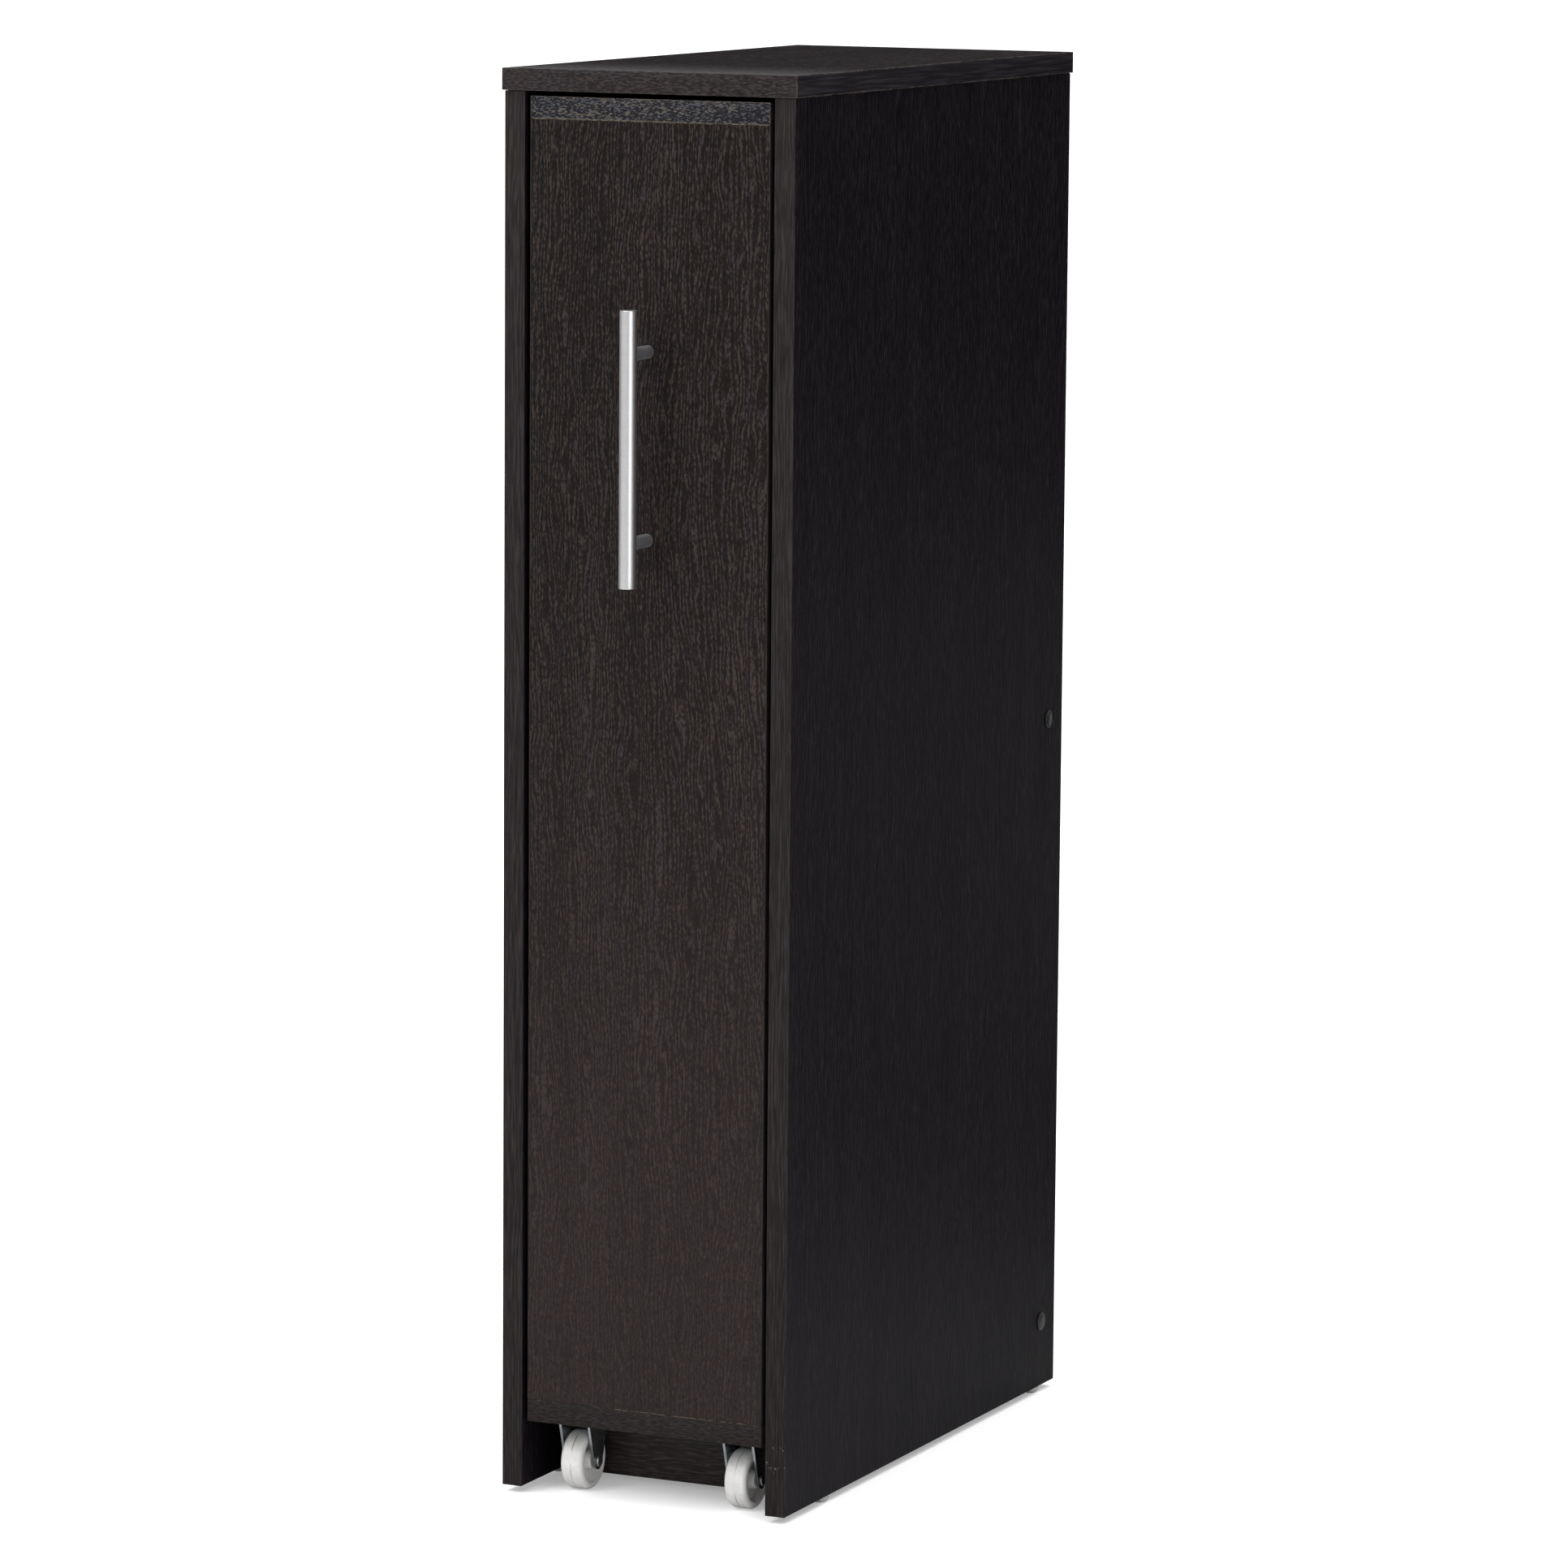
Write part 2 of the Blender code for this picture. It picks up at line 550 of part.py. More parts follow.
def wheel_profile():
    """Profile of a wheel: a bored hub, a recess on each side and a rim with rounded shoulders."""
    half = WHEEL_WIDTH / 2
    floor = half - WHEEL_RECESS
    bore = RIVET_RADIUS + RUNNING
    recess_outer = WHEEL_RADIUS - WHEEL_RIM
    slope = WHEEL_RECESS / 6
    side = [(bore, half), (WHEEL_HUB_RADIUS, half), (WHEEL_HUB_RADIUS + slope, floor),
            (recess_outer - slope, floor), (recess_outer, half)]
    steps = 3
    for i in range(steps + 1):
        turn = math.pi / 2 * (1 - i / steps)
        side.append((WHEEL_RADIUS - WHEEL_SHOULDER * (1 - math.cos(turn)),
                     half - WHEEL_SHOULDER * (1 - math.sin(turn))))
    return side + [(radius, -along) for radius, along in reversed(side)]


def draw_leg(bm, low_x, high_x):
    """One tapered leg of a fork, with a round foot about the axle, which lies at the origin."""
    top = CASTER_HEIGHT - WHEEL_RADIUS - FORK_SHEET / 2
    half = FORK_TOP / 2
    reach = math.hypot(half, top)
    lean = math.atan2(half, top)
    contact = math.asin(FORK_FOOT_RADIUS / reach) - lean
    steps = 8
    outline = [(half, top)]
    for i in range(steps + 1):
        turn = contact - (math.pi + 2 * contact) * i / steps
        outline.append((FORK_FOOT_RADIUS * math.cos(turn), FORK_FOOT_RADIUS * math.sin(turn)))
    outline.append((-half, top))
    near = [bm.verts.new((low_x, y, z)) for y, z in outline]
    far = [bm.verts.new((high_x, y, z)) for y, z in outline]
    bm.faces.new(near)
    bm.faces.new(reversed(far))
    for i, start in enumerate(near):
        j = (i + 1) % len(near)
        bm.faces.new((start, far[i], far[j], near[j]))


def fork_mesh_object(name, cart, at):
    """A fork: a screw plate with two legs, pressed from one sheet. Its origin is on the axle."""
    top = CASTER_HEIGHT - WHEEL_RADIUS - SEAT
    bm = bmesh.new()
    add_box(bm, (-PLATE_WIDTH / 2, -PLATE_LENGTH / 2, top - FORK_SHEET),
            (PLATE_WIDTH / 2, PLATE_LENGTH / 2, top))
    fork = place(name, mesh_from(bm, name), ZINC, cart, at)
    legs_mesh = bmesh.new()
    for sign in (-1, 1):
        x = sorted((sign * LEG_INNER, sign * (LEG_INNER + FORK_SHEET)))
        draw_leg(legs_mesh, x[0], x[1])
    legs = place(name + "_legs", mesh_from(legs_mesh, name + "_legs"), at=at)
    legs.hide_render = True
    legs.display_type = "WIRE"
    union = fork.modifiers.new("legs", "BOOLEAN")
    union.operation = "UNION"
    union.object = legs

    def draw_holes(tools):
        reach = LEG_INNER + 2 * FORK_SHEET
        hole = rod_profile(RIVET_RADIUS + RUNNING, -reach, reach)
        add_turned(tools, hole, SMALL_ROUND, "X", at)
        screw = rod_profile(PLATE_HOLE_RADIUS, -BOARD / 2, BOARD / 2)
        for sign_x in (-1, 1):
            for sign_y in (-1, 1):
                x = at[0] + sign_x * (PLATE_WIDTH / 2 - PLATE_HOLE_EDGE)
                y = at[1] + sign_y * (PLATE_LENGTH / 2 - PLATE_HOLE_EDGE)
                add_turned(tools, screw, SMALL_ROUND, "Z", (x, y, at[2] + top))

    cut_with(fork, draw_holes)
    return fork


def rivet_profile():
    """Profile of an axle rivet with a low dome on each end."""
    seat = LEG_INNER + FORK_SHEET + SEAT
    dome = seat + RIVET_HEAD_HEIGHT
    end = [(RIVET_RADIUS, seat), (RIVET_HEAD_RADIUS, seat), (RIVET_HEAD_RADIUS, seat + RIVET_HEAD_HEIGHT / 3),
           (RIVET_HEAD_RADIUS * 0.7, dome - RIVET_HEAD_HEIGHT * 0.15), (0, dome)]
    return [(radius, -along) for radius, along in reversed(end)] + end


def build_casters(cart):
    """The four casters: fork, rivet and wheel. Each wheel turns on its own empty."""
    x = CART_WIDTH / 2 - CASTER_INSET_SIDE
    rows = {"front": FACE + CASTER_INSET_END, "rear": CART_REAR - CASTER_INSET_END}
    for side, sign in (("left", -1), ("right", 1)):
        for row, y in rows.items():
            at = (sign * x, y, WHEEL_RADIUS)
            where = f"{side}_{row}"
            fork_mesh_object(f"caster_fork_{where}", cart, at)
            turned(f"caster_axle_{where}", rivet_profile(), SMALL_ROUND, "X", STEEL, cart, at)
            spin = joint_empty(f"wheel_spin_{where}", at, cart)
            wheel = turned(f"caster_wheel_{where}", wheel_profile(), ROUND, "X", WHITE_NYLON)
            wheel.parent = spin


def main():
    """Build the shell, then the cart with its handle and casters."""
    clear_scene()
    build_sides()
    build_top()
    build_back()
    build_rear_rails()
    build_kick_rail()
    build_top_cams()
    build_rail_screws()
    build_glides()
    cart = joint_empty("cart_slide", (0, FACE, CASTER_HEIGHT))
    build_cart_boards(cart)
    build_shelves(cart)
    build_handle(cart)
    build_casters(cart)


main()
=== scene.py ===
"""Looks of a slim wenge pantry cabinet and of the shelf cart that rolls out of it.

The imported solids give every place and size. The boards keep their solids and get a grain of their
own, with a glued band along each edge that shows. The handle, casters, caps, glides, cams, shelf
pins and handle screws are made again here with finer shapes, in the same places.
"""

import logging
import math
from collections.abc import Callable, Iterable, Sequence
from dataclasses import dataclass, field, replace
from enum import Enum

import bmesh
import bpy
from mathutils import Matrix, Vector


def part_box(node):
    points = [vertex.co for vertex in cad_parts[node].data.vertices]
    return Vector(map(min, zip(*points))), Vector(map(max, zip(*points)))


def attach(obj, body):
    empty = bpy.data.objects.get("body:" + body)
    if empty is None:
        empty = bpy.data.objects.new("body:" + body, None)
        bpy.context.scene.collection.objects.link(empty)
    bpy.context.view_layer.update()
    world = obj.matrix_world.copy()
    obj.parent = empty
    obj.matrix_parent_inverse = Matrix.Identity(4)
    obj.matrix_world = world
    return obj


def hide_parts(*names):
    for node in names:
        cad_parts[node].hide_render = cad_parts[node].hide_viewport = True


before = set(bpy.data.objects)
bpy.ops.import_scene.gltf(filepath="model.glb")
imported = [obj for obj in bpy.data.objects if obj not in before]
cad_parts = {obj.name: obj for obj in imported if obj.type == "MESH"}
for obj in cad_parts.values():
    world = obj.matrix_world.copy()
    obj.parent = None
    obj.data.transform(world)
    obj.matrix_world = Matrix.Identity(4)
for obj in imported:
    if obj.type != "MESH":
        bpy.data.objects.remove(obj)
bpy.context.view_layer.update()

LOG = logging.getLogger("pantry_cart")

Colour = tuple[float, float, float]
Place = tuple[float, float, float]
Span = tuple[float, float]
Profile = list[tuple[float, float]]
Socket = bpy.types.NodeSocket

MM = 0.001
NOISE_GAIN = 4.0  # noise swings by about a quarter, so this makes a swing of about one
END_FACING = 0.7  # how squarely a face looks along the grain to count as a board's end
SEED_STEP = (1.37, 2.11, 0.73)  # how far apart two boards are cut from the pattern
EASE_SHARE = 0.45  # most of a side that the rounding of one corner takes up
CREASE = 35.0  # degrees above which an edge stays sharp on a turned or pressed piece
BLOCK_CREASE = 50.0  # the same on a block with rounded edges
SOFT_CREASE = 40.0  # the same on a piece that is softened, and the least edge it rounds
DRIVE_ARM = 0.24  # width of a cross drive's arm, as a share of its length
DOME_STEPS = 10
ROUND_STEPS = 4
BEND_STEPS = 6
FINE_FACETS = 96
SMALL_FACETS = 48
TINY_FACETS = 40


class Axis(Enum):
    """A direction of the shared frame, by its place in a vector."""

    X = 0
    Y = 1
    Z = 2


class Hand(Enum):
    """A side of the cabinet, by the sign of X there."""

    LEFT = -1
    RIGHT = 1

    @property
    def word(self) -> str:
        """The side as it stands in the names of the pieces."""
        return self.name.lower()


class Row(Enum):
    """An end of the cart, by the direction along Y that leads into it from that end."""

    FRONT = 1
    REAR = -1

    @property
    def word(self) -> str:
        """The end as it stands in the names of the pieces."""
        return self.name.lower()


# ---------------------------------------------------------------------------------------------
# Shader building
# ---------------------------------------------------------------------------------------------


@dataclass(frozen=True)
class Noise:
    """Cloudy noise: its features to a metre each way, its finer layers and their strength."""

    scale: tuple[float, float, float]
    detail: float = 2.0
    rough: float = 0.5

    @classmethod
    def even(cls, scale: float, detail: float = 2.0, rough: float = 0.5) -> "Noise":
        """Noise of the same scale in all directions."""
        return cls((scale, scale, scale), detail, rough)


class Graph:
    """A new material with short ways to add and join its nodes."""

    def __init__(self, name: str) -> None:
        """Start a material of this name with an empty Principled surface.

        Args:
            name: Name of the material.
        """
        self.material = bpy.data.materials.new(name)
        self.material.use_nodes = True
        self.tree = self.material.node_tree
        self.surface = self.tree.nodes["Principled BSDF"]
        self._texture_place: bpy.types.Node | None = None

    def node(self, kind: str, **settings: object) -> bpy.types.Node:
        """Add a node.

        Args:
            kind: Blender's name of the node type.
            **settings: Attributes to set on the new node.

        Returns:
            The new node.
        """
        made = self.tree.nodes.new(kind)
        for key, value in settings.items():
            setattr(made, key, value)
        return made

    def feed(self, target: Socket, value: "Socket | float | Sequence[float]") -> None:
        """Join a socket to an input, or set the input to a constant.

        Args:
            target: Input to feed.
            value: Output socket of another node, or a constant.
        """
        if isinstance(value, bpy.types.NodeSocket):
            self.tree.links.new(value, target)
        else:
            target.default_value = value

    def set_surface(self, **inputs: "Socket | float | Sequence[float]") -> None:
        """Feed inputs of the Principled surface, named in lower case with underscores.

        Args:
            **inputs: Values or sockets by input name, such as base_color or roughness.
        """
        names = {socket.name.lower().replace(" ", "_"): socket for socket in self.surface.inputs}
        for key, value in inputs.items():
            self.feed(names[key], value)

    def place(self) -> Socket:
        """The point's place in the shared frame, at rest."""
        return self._coordinates().outputs["Object"]

    def normal(self) -> Socket:
        """The surface's direction in the shared frame, at rest."""
        return self._coordinates().outputs["Normal"]

    def _coordinates(self) -> bpy.types.Node:
        """The one coordinate node that the whole material reads.

        Returns:
            The node.
        """
        if self._texture_place is None:
            self._texture_place = self.node("ShaderNodeTexCoord")
        return self._texture_place

    def maths(self, operation: str, *values: "Socket | float") -> Socket:
        """Work out a number.

        Args:
            operation: Name of the operation of a Math node.
            *values: Its inputs, in order.

        Returns:
            The result.
        """
        made = self.node("ShaderNodeMath", operation=operation)
        for target, value in zip(made.inputs, values):
            self.feed(target, value)
        return made.outputs[0]

    def vector(self, operation: str, *values: "Socket | Sequence[float]") -> Socket:
        """Work out a vector.

        Args:
            operation: Name of the operation of a Vector Math node.
            *values: Its inputs, in order.

        Returns:
            The result.
        """
        made = self.node("ShaderNodeVectorMath", operation=operation)
        for target, value in zip(made.inputs, values):
            self.feed(target, value)
        return made.outputs[0]

    def parts(self, value: Socket) -> tuple[Socket, Socket, Socket]:
        """Split a vector into its three numbers.

        Args:
            value: The vector.

        Returns:
            Its numbers, in order.
        """
        outputs = self.node("ShaderNodeSeparateXYZ")
        self.feed(outputs.inputs[0], value)
        return tuple(outputs.outputs)

    def joined(self, values: "Iterable[Socket | float]") -> Socket:
        """Make a vector of three numbers.

        Args:
            values: The numbers, in order.

        Returns:
            The vector.
        """
        made = self.node("ShaderNodeCombineXYZ")
        for target, value in zip(made.inputs, values):
            self.feed(target, value)
        return made.outputs[0]

    def times(self, first: "Socket | float", second: "Socket | float") -> Socket:
        """Multiply two numbers."""
        return self.maths("MULTIPLY", first, second)

    def plus(self, first: "Socket | float", second: "Socket | float") -> Socket:
        """Add two numbers."""
        return self.maths("ADD", first, second)

    def squared(self, value: Socket) -> Socket:
        """Square a number."""
        return self.maths("POWER", value, 2.0)

    def off_half(self, value: Socket) -> Socket:
        """How far a number is above a half."""
        return self.maths("SUBTRACT", value, 0.5)

    def noise(self, place: Socket, noise: Noise) -> Socket:
        """Cloudy noise.

        Args:
            place: Where it is read.
            noise: Its scale and layers.

        Returns:
            Noise around a half.
        """
        made = self.node("ShaderNodeTexNoise")
        self.feed(made.inputs["Vector"], self.vector("MULTIPLY", place, noise.scale))
        made.inputs["Scale"].default_value = 1.0
        made.inputs["Detail"].default_value = noise.detail
        made.inputs["Roughness"].default_value = noise.rough
        return made.outputs["Fac"]

    def step(self, value: Socket, low: float, high: float) -> Socket:
        """A smooth step from 0 to 1.

        Args:
            value: Number that it follows.
            low: Where the step is 0.
            high: Where the step is 1, which may also be the lower of the two.

        Returns:
            The step.
        """
        made = self.node("ShaderNodeMapRange", interpolation_type="SMOOTHSTEP")
        self.feed(made.inputs["Value"], value)
        if low < high:
            made.inputs["From Min"].default_value = low
            made.inputs["From Max"].default_value = high
            return made.outputs["Result"]
        made.inputs["From Min"].default_value = high
        made.inputs["From Max"].default_value = low
        return self.maths("SUBTRACT", 1.0, made.outputs["Result"])

    def mix(self, amount: "Socket | float", first: "Socket | Colour",
            second: "Socket | Colour") -> Socket:
        """Mix two colours.

        Args:
            amount: 0 for the first, 1 for the second.
            first: A colour.
            second: Another colour.

        Returns:
            The mixed colour.
        """
        made = self.node("ShaderNodeMix", data_type="RGBA")
        self.feed(made.inputs["Factor"], amount)
        for label, value in (("A", first), ("B", second)):
            socket = next(s for s in made.inputs if s.name == label and s.type == "RGBA")
            self.feed(socket, value if isinstance(value, bpy.types.NodeSocket) else (*value, 1.0))
        return next(s for s in made.outputs if s.type == "RGBA")

    def choose(self, amount: Socket, first: Socket, second: Socket) -> Socket:
        """Mix two vectors.

        Args:
            amount: 0 for the first, 1 for the second.
            first: A vector.
            second: Another vector.

        Returns:
            The mixed vector.
        """
        made = self.node("ShaderNodeMix", data_type="VECTOR")
        self.feed(made.inputs["Factor"], amount)
        for label, value in (("A", first), ("B", second)):
            self.feed(next(s for s in made.inputs if s.name == label and s.type == "VECTOR"), value)
        return next(s for s in made.outputs if s.type == "VECTOR")

    def choose_number(self, amount: Socket, first: "Socket | float",
                      second: "Socket | float") -> Socket:
        """Mix two numbers.

        Args:
            amount: 0 for the first, 1 for the second.
            first: A number.
            second: Another number.

        Returns:
            The mixed number.
        """
        made = self.node("ShaderNodeMix", data_type="FLOAT")
        numbers = (made.inputs[0], made.inputs[2], made.inputs[3])
        for target, value in zip(numbers, (amount, first, second)):
            self.feed(target, value)
        return made.outputs[0]

    def vector_length(self, value: Socket) -> Socket:
        """Length of a vector.

        Args:
            value: The vector.

        Returns:
            Its length.
        """
        made = self.node("ShaderNodeVectorMath", operation="LENGTH")
        self.feed(made.inputs[0], value)
        return made.outputs["Value"]

    def bump(self, height: Socket, strength: float, depth: float) -> None:
        """Give the surface a fine relief.

        Args:
            height: Height field from 0 to 1.
            strength: How strongly it turns the surface.
            depth: Height of 1, in metres.
        """
        made = self.node("ShaderNodeBump")
        made.inputs["Strength"].default_value = strength
        made.inputs["Distance"].default_value = depth
        self.feed(made.inputs["Height"], height)
        self.set_surface(normal=made.outputs["Normal"])

    def edge_distance(self, low: Vector, high: Vector) -> Socket:
        """Distance from a point on the faces of a box to the nearest edge of that box.

        Args:
            low: Lowest corner of the box.
            high: Highest corner of the box.

        Returns:
            The distance in metres.
        """
        place = self.place()
        inside = self.vector("MINIMUM", self.vector("SUBTRACT", place, tuple(low)),
                             self.vector("SUBTRACT", tuple(high), place))
        x, y, z = self.parts(inside)
        lesser = self.maths("MINIMUM", x, y)
        greater = self.maths("MINIMUM", self.maths("MAXIMUM", x, y), z)
        return self.maths("MAXIMUM", lesser, greater)


# ---------------------------------------------------------------------------------------------
# Finishes
# ---------------------------------------------------------------------------------------------


@dataclass(frozen=True)
class Laminate:
    """Dark wood-grain laminate, pressed with rows of short raised flecks along the grain."""

    name: str
    deep: Colour
    mid: Colour
    fleck_warm: Colour
    fleck_cool: Colour
    across: float = 700.0
    along: float = 210.0
    fleck_amount: float = 0.68
    fleck_cut: Span = (0.525, 0.64)
    tone_cut: Span = (0.36, 0.60)
    hue_noise: Noise = Noise((330.0, 330.0, 40.0), rough=0.7)
    hue_cut: Span = (0.42, 0.58)
    rows: float = 12.0
    row_share: float = 0.38
    row_pitch: float = 3.0 * MM
    row_stray: float = 5.0 * MM
    row_height: float = 0.22
    stray_scale: float = 70.0
    cloud: float = 0.16
    cloud_noise: Noise = Noise((34.0, 34.0, 4.0), 3.0)
    waviness: float = 0.03
    wave_noise: Noise = Noise((6.0, 6.0, 2.0), rough=0.4)
    pore: Colour = (0.003, 0.003, 0.003)
    pore_amount: float = 0.5
    pore_finer: Span = (1.7, 0.9)
    pore_cut: Span = (0.44, 0.30)
    roughness: float = 0.46
    gloss_swing: float = 0.16
    specular: float = 0.22
    relief: float = 0.35
    relief_depth: float = 0.8 * MM
    worn: Colour = (0.16, 0.13, 0.105)
    wear: float = 0.35
    wear_width: float = 0.8 * MM
    wear_noise: Noise = Noise.even(110.0, 4.0, 0.7)
    wear_cut: Span = (0.35, 0.62)
    # Painted sheen: a pale grey mixed into the colour along the front edge, in place of light
    # reflected there.
    haze: Colour = (0.075, 0.072, 0.072)
    haze_amount: float = 0.0
    haze_least: float = 0.5
    haze_reach: float = 150 * MM
    haze_noise: Noise = Noise((260.0, 150.0, 260.0), 4.0, 0.7)
    haze_cut: Span = (0.25, 0.70)
    chip: Colour = (0.26, 0.24, 0.21)
    scuff_amount: float = 0.0
    scuff_band: Span = (34 * MM, 64 * MM)
    scuff_fade: float = 8 * MM
    scuff_noise: Noise = Noise((330.0, 330.0, 240.0), 3.0, 0.65)
    scuff_cut: Span = (0.66, 0.72)
    # Painted reflection: the colour turns lighter and more even towards the foot of the board, in
    # place of the floor's reflection there.
    calm: float = 0.0
    calm_tone: Colour = (0.032, 0.0235, 0.0235)

    def material(self, name: str, grain: Axis, end_grain: Axis, box: tuple[Vector, Vector],
                 seed: float) -> bpy.types.Material:
        """Make the material of one board.

        Args:
            name: Name of the board.
            grain: Direction of the grain.
            end_grain: Direction of the grain on the faces that the first direction runs into.
            box: Lowest and highest corner of the board, for the wear along its edges.
            seed: Place in the pattern that this board is cut from.

        Returns:
            The material.
        """
        graph = Graph(f"{self.name}_{name}")
        grained = self._grain_place(graph, grain, end_grain, seed)
        dashes = graph.noise(grained, Noise((self.across, self.across, self.along), 1.5))
        height = self._height(graph, grained, dashes)
        colour = self._grain_colour(graph, grained, height)
        # Painted floor reflection: lighter and more even towards the foot.
        if self.calm:
            colour = self._calmed(graph, colour, box)
        colour = self._pored(graph, colour, grained)
        colour = self._worn(graph, colour, box)
        # Painted sheen: the colour turns pale grey towards the front edge.
        if self.haze_amount:
            colour = self._hazed(graph, colour, box[0].y)
        if self.scuff_amount:
            colour = self._scuffed(graph, colour)
        gloss = graph.plus(self.roughness - self.gloss_swing / 2,
                           graph.times(dashes, self.gloss_swing))
        graph.set_surface(base_color=colour, roughness=gloss, specular_ior_level=self.specular)
        graph.bump(height, self.relief, self.relief_depth)
        return graph.material

    def _height(self, graph: Graph, grained: Socket, dashes: Socket) -> Socket:
        """Height of the pressed grain: short dashes, their rows and a slow drift.

        Args:
            graph: Material under way.
            grained: Place on the board, with the grain along its third number.
            dashes: Noise of the short dashes.

        Returns:
            Height around a half.
        """
        rows = self._rows(graph, grained)
        cloud = graph.noise(grained, self.cloud_noise)
        height = graph.plus(graph.times(dashes, 1.0 - self.row_share),
                            graph.times(rows, self.row_share))
        return graph.plus(height, graph.times(graph.off_half(cloud), self.cloud))

    def _grain_colour(self, graph: Graph, grained: Socket, height: Socket) -> Socket:
        """Colour of the grain, with its high places flecked in two hues.

        Args:
            graph: Material under way.
            grained: Place on the board, with the grain along its third number.
            height: Height of the grain.

        Returns:
            The colour.
        """
        ground = graph.mix(graph.step(height, *self.tone_cut), self.deep, self.mid)
        hue = graph.step(graph.noise(grained, self.hue_noise), *self.hue_cut)
        fleck = graph.mix(hue, self.fleck_warm, self.fleck_cool)
        amount = graph.times(graph.step(height, *self.fleck_cut), self.fleck_amount)
        return graph.mix(amount, ground, fleck)

    def _calmed(self, graph: Graph, colour: Socket, box: tuple[Vector, Vector]) -> Socket:
        """Paint a floor reflection into the colour: lighter and more even towards the foot of the
        board.

        Args:
            graph: Material under way.
            colour: Colour of the surface.
            box: Lowest and highest corner of the board.

        Returns:
            The colour with its painted reflection.
        """
        height = graph.parts(graph.place())[Axis.Z.value]
        low = graph.squared(graph.step(height, box[1].z, box[0].z))
        return graph.mix(graph.times(low, self.calm), colour, self.calm_tone)

    def _pored(self, graph: Graph, colour: Socket, grained: Socket) -> Socket:
        """Sink fine dark pores into the colour.

        Args:
            graph: Material under way.
            colour: Colour of the surface.
            grained: Place on the board, with the grain along its third number.

        Returns:
            The colour with its pores.
        """
        across, along = self.pore_finer[0] * self.across, self.pore_finer[1] * self.along
        pores = graph.noise(grained, Noise((across, across, along), 1.0))
        pores = graph.step(pores, *self.pore_cut)
        return graph.mix(graph.times(pores, self.pore_amount), colour, self.pore)

    def _worn(self, graph: Graph, colour: Socket, box: tuple[Vector, Vector]) -> Socket:
        """Rub the colour paler in patches along the edges of the board.

        Args:
            graph: Material under way.
            colour: Colour of the surface.
            box: Lowest and highest corner of the board.

        Returns:
            The worn colour.
        """
        patchy = graph.step(graph.noise(graph.place(), self.wear_noise), *self.wear_cut)
        rub = graph.times(graph.step(graph.edge_distance(*box), self.wear_width, 0.0), patchy)
        return graph.mix(graph.times(rub, self.wear), colour, self.worn)

    def _hazed(self, graph: Graph, colour: Socket, front: float) -> Socket:
        """Paint a pale sheen into the colour towards the front edge, in place of light reflected
        there.

        Args:
            graph: Material under way.
            colour: Colour of the surface.
            front: Where the board starts along Y.

        Returns:
            The colour with its painted sheen.
        """
        back = graph.parts(graph.place())[Axis.Y.value]
        near = graph.maths("DIVIDE", graph.maths("SUBTRACT", front + self.haze_reach, back),
                           self.haze_reach)
        near = graph.squared(graph.maths("MAXIMUM", near, 0.0))
        patchy = graph.step(graph.noise(graph.place(), self.haze_noise), *self.haze_cut)
        patchy = graph.times(graph.plus(self.haze_least, patchy), self.haze_amount)
        return graph.mix(graph.times(near, patchy), colour, self.haze)

    def _scuffed(self, graph: Graph, colour: Socket) -> Socket:
        """Strew a few pale chips over a band near the floor, where shoes and brooms knock.

        Args:
            graph: Material under way.
            colour: Colour of the surface.

        Returns:
            The chipped colour.
        """
        height = graph.parts(graph.place())[Axis.Z.value]
        low, high = self.scuff_band
        fade = self.scuff_fade
        within = graph.times(graph.step(height, low - fade, low + fade),
                             graph.step(height, high + fade, high - fade))
        chips = graph.step(graph.noise(graph.place(), self.scuff_noise), *self.scuff_cut)
        return graph.mix(graph.times(graph.times(chips, within), self.scuff_amount), colour,
                         self.chip)

    def _rows(self, graph: Graph, grained: Socket) -> Socket:
        """Rows of the flecks: ridges at an even pitch that stray to and fro.

        Args:
            graph: Material under way.
            grained: Place on the board, with the grain along its third number.

        Returns:
            Height across the rows, around a half.
        """
        first, second, _ = graph.parts(grained)
        scale = (self.stray_scale, self.stray_scale, self.rows)
        stray = graph.off_half(graph.noise(grained, Noise(scale, rough=0.6)))
        stray = graph.times(stray, self.row_stray * NOISE_GAIN)
        across = graph.plus(graph.plus(first, second), stray)
        wave = graph.maths("SINE", graph.times(across, 2.0 * math.pi / self.row_pitch))
        return graph.plus(0.5, graph.times(wave, self.row_height))

    def _grain_place(self, graph: Graph, grain: Axis, end_grain: Axis, seed: float) -> Socket:
        """The place on the board, turned so that the grain always runs along the third number.

        Args:
            graph: Material under way.
            grain: Direction of the grain.
            end_grain: Its direction on the faces that it runs into.
            seed: Place in the pattern.

        Returns:
            The turned place, with the grain's slow waves in it.
        """
        place = graph.parts(graph.place())
        facing = graph.parts(graph.normal())[grain.value]
        on_end = graph.maths("GREATER_THAN", graph.maths("ABSOLUTE", facing), END_FACING)
        lengthwise, endwise = (graph.joined(place[(axis.value + shift) % 3] for shift in (1, 2, 3))
                               for axis in (grain, end_grain))
        shifted = graph.vector("ADD", graph.choose(on_end, lengthwise, endwise),
                               tuple(seed * part for part in SEED_STEP))
        wave = graph.off_half(graph.noise(shifted, self.wave_noise))
        shift = graph.times(wave, self.waviness)
        return graph.vector("ADD", shifted, graph.joined((shift, shift, 0.0)))


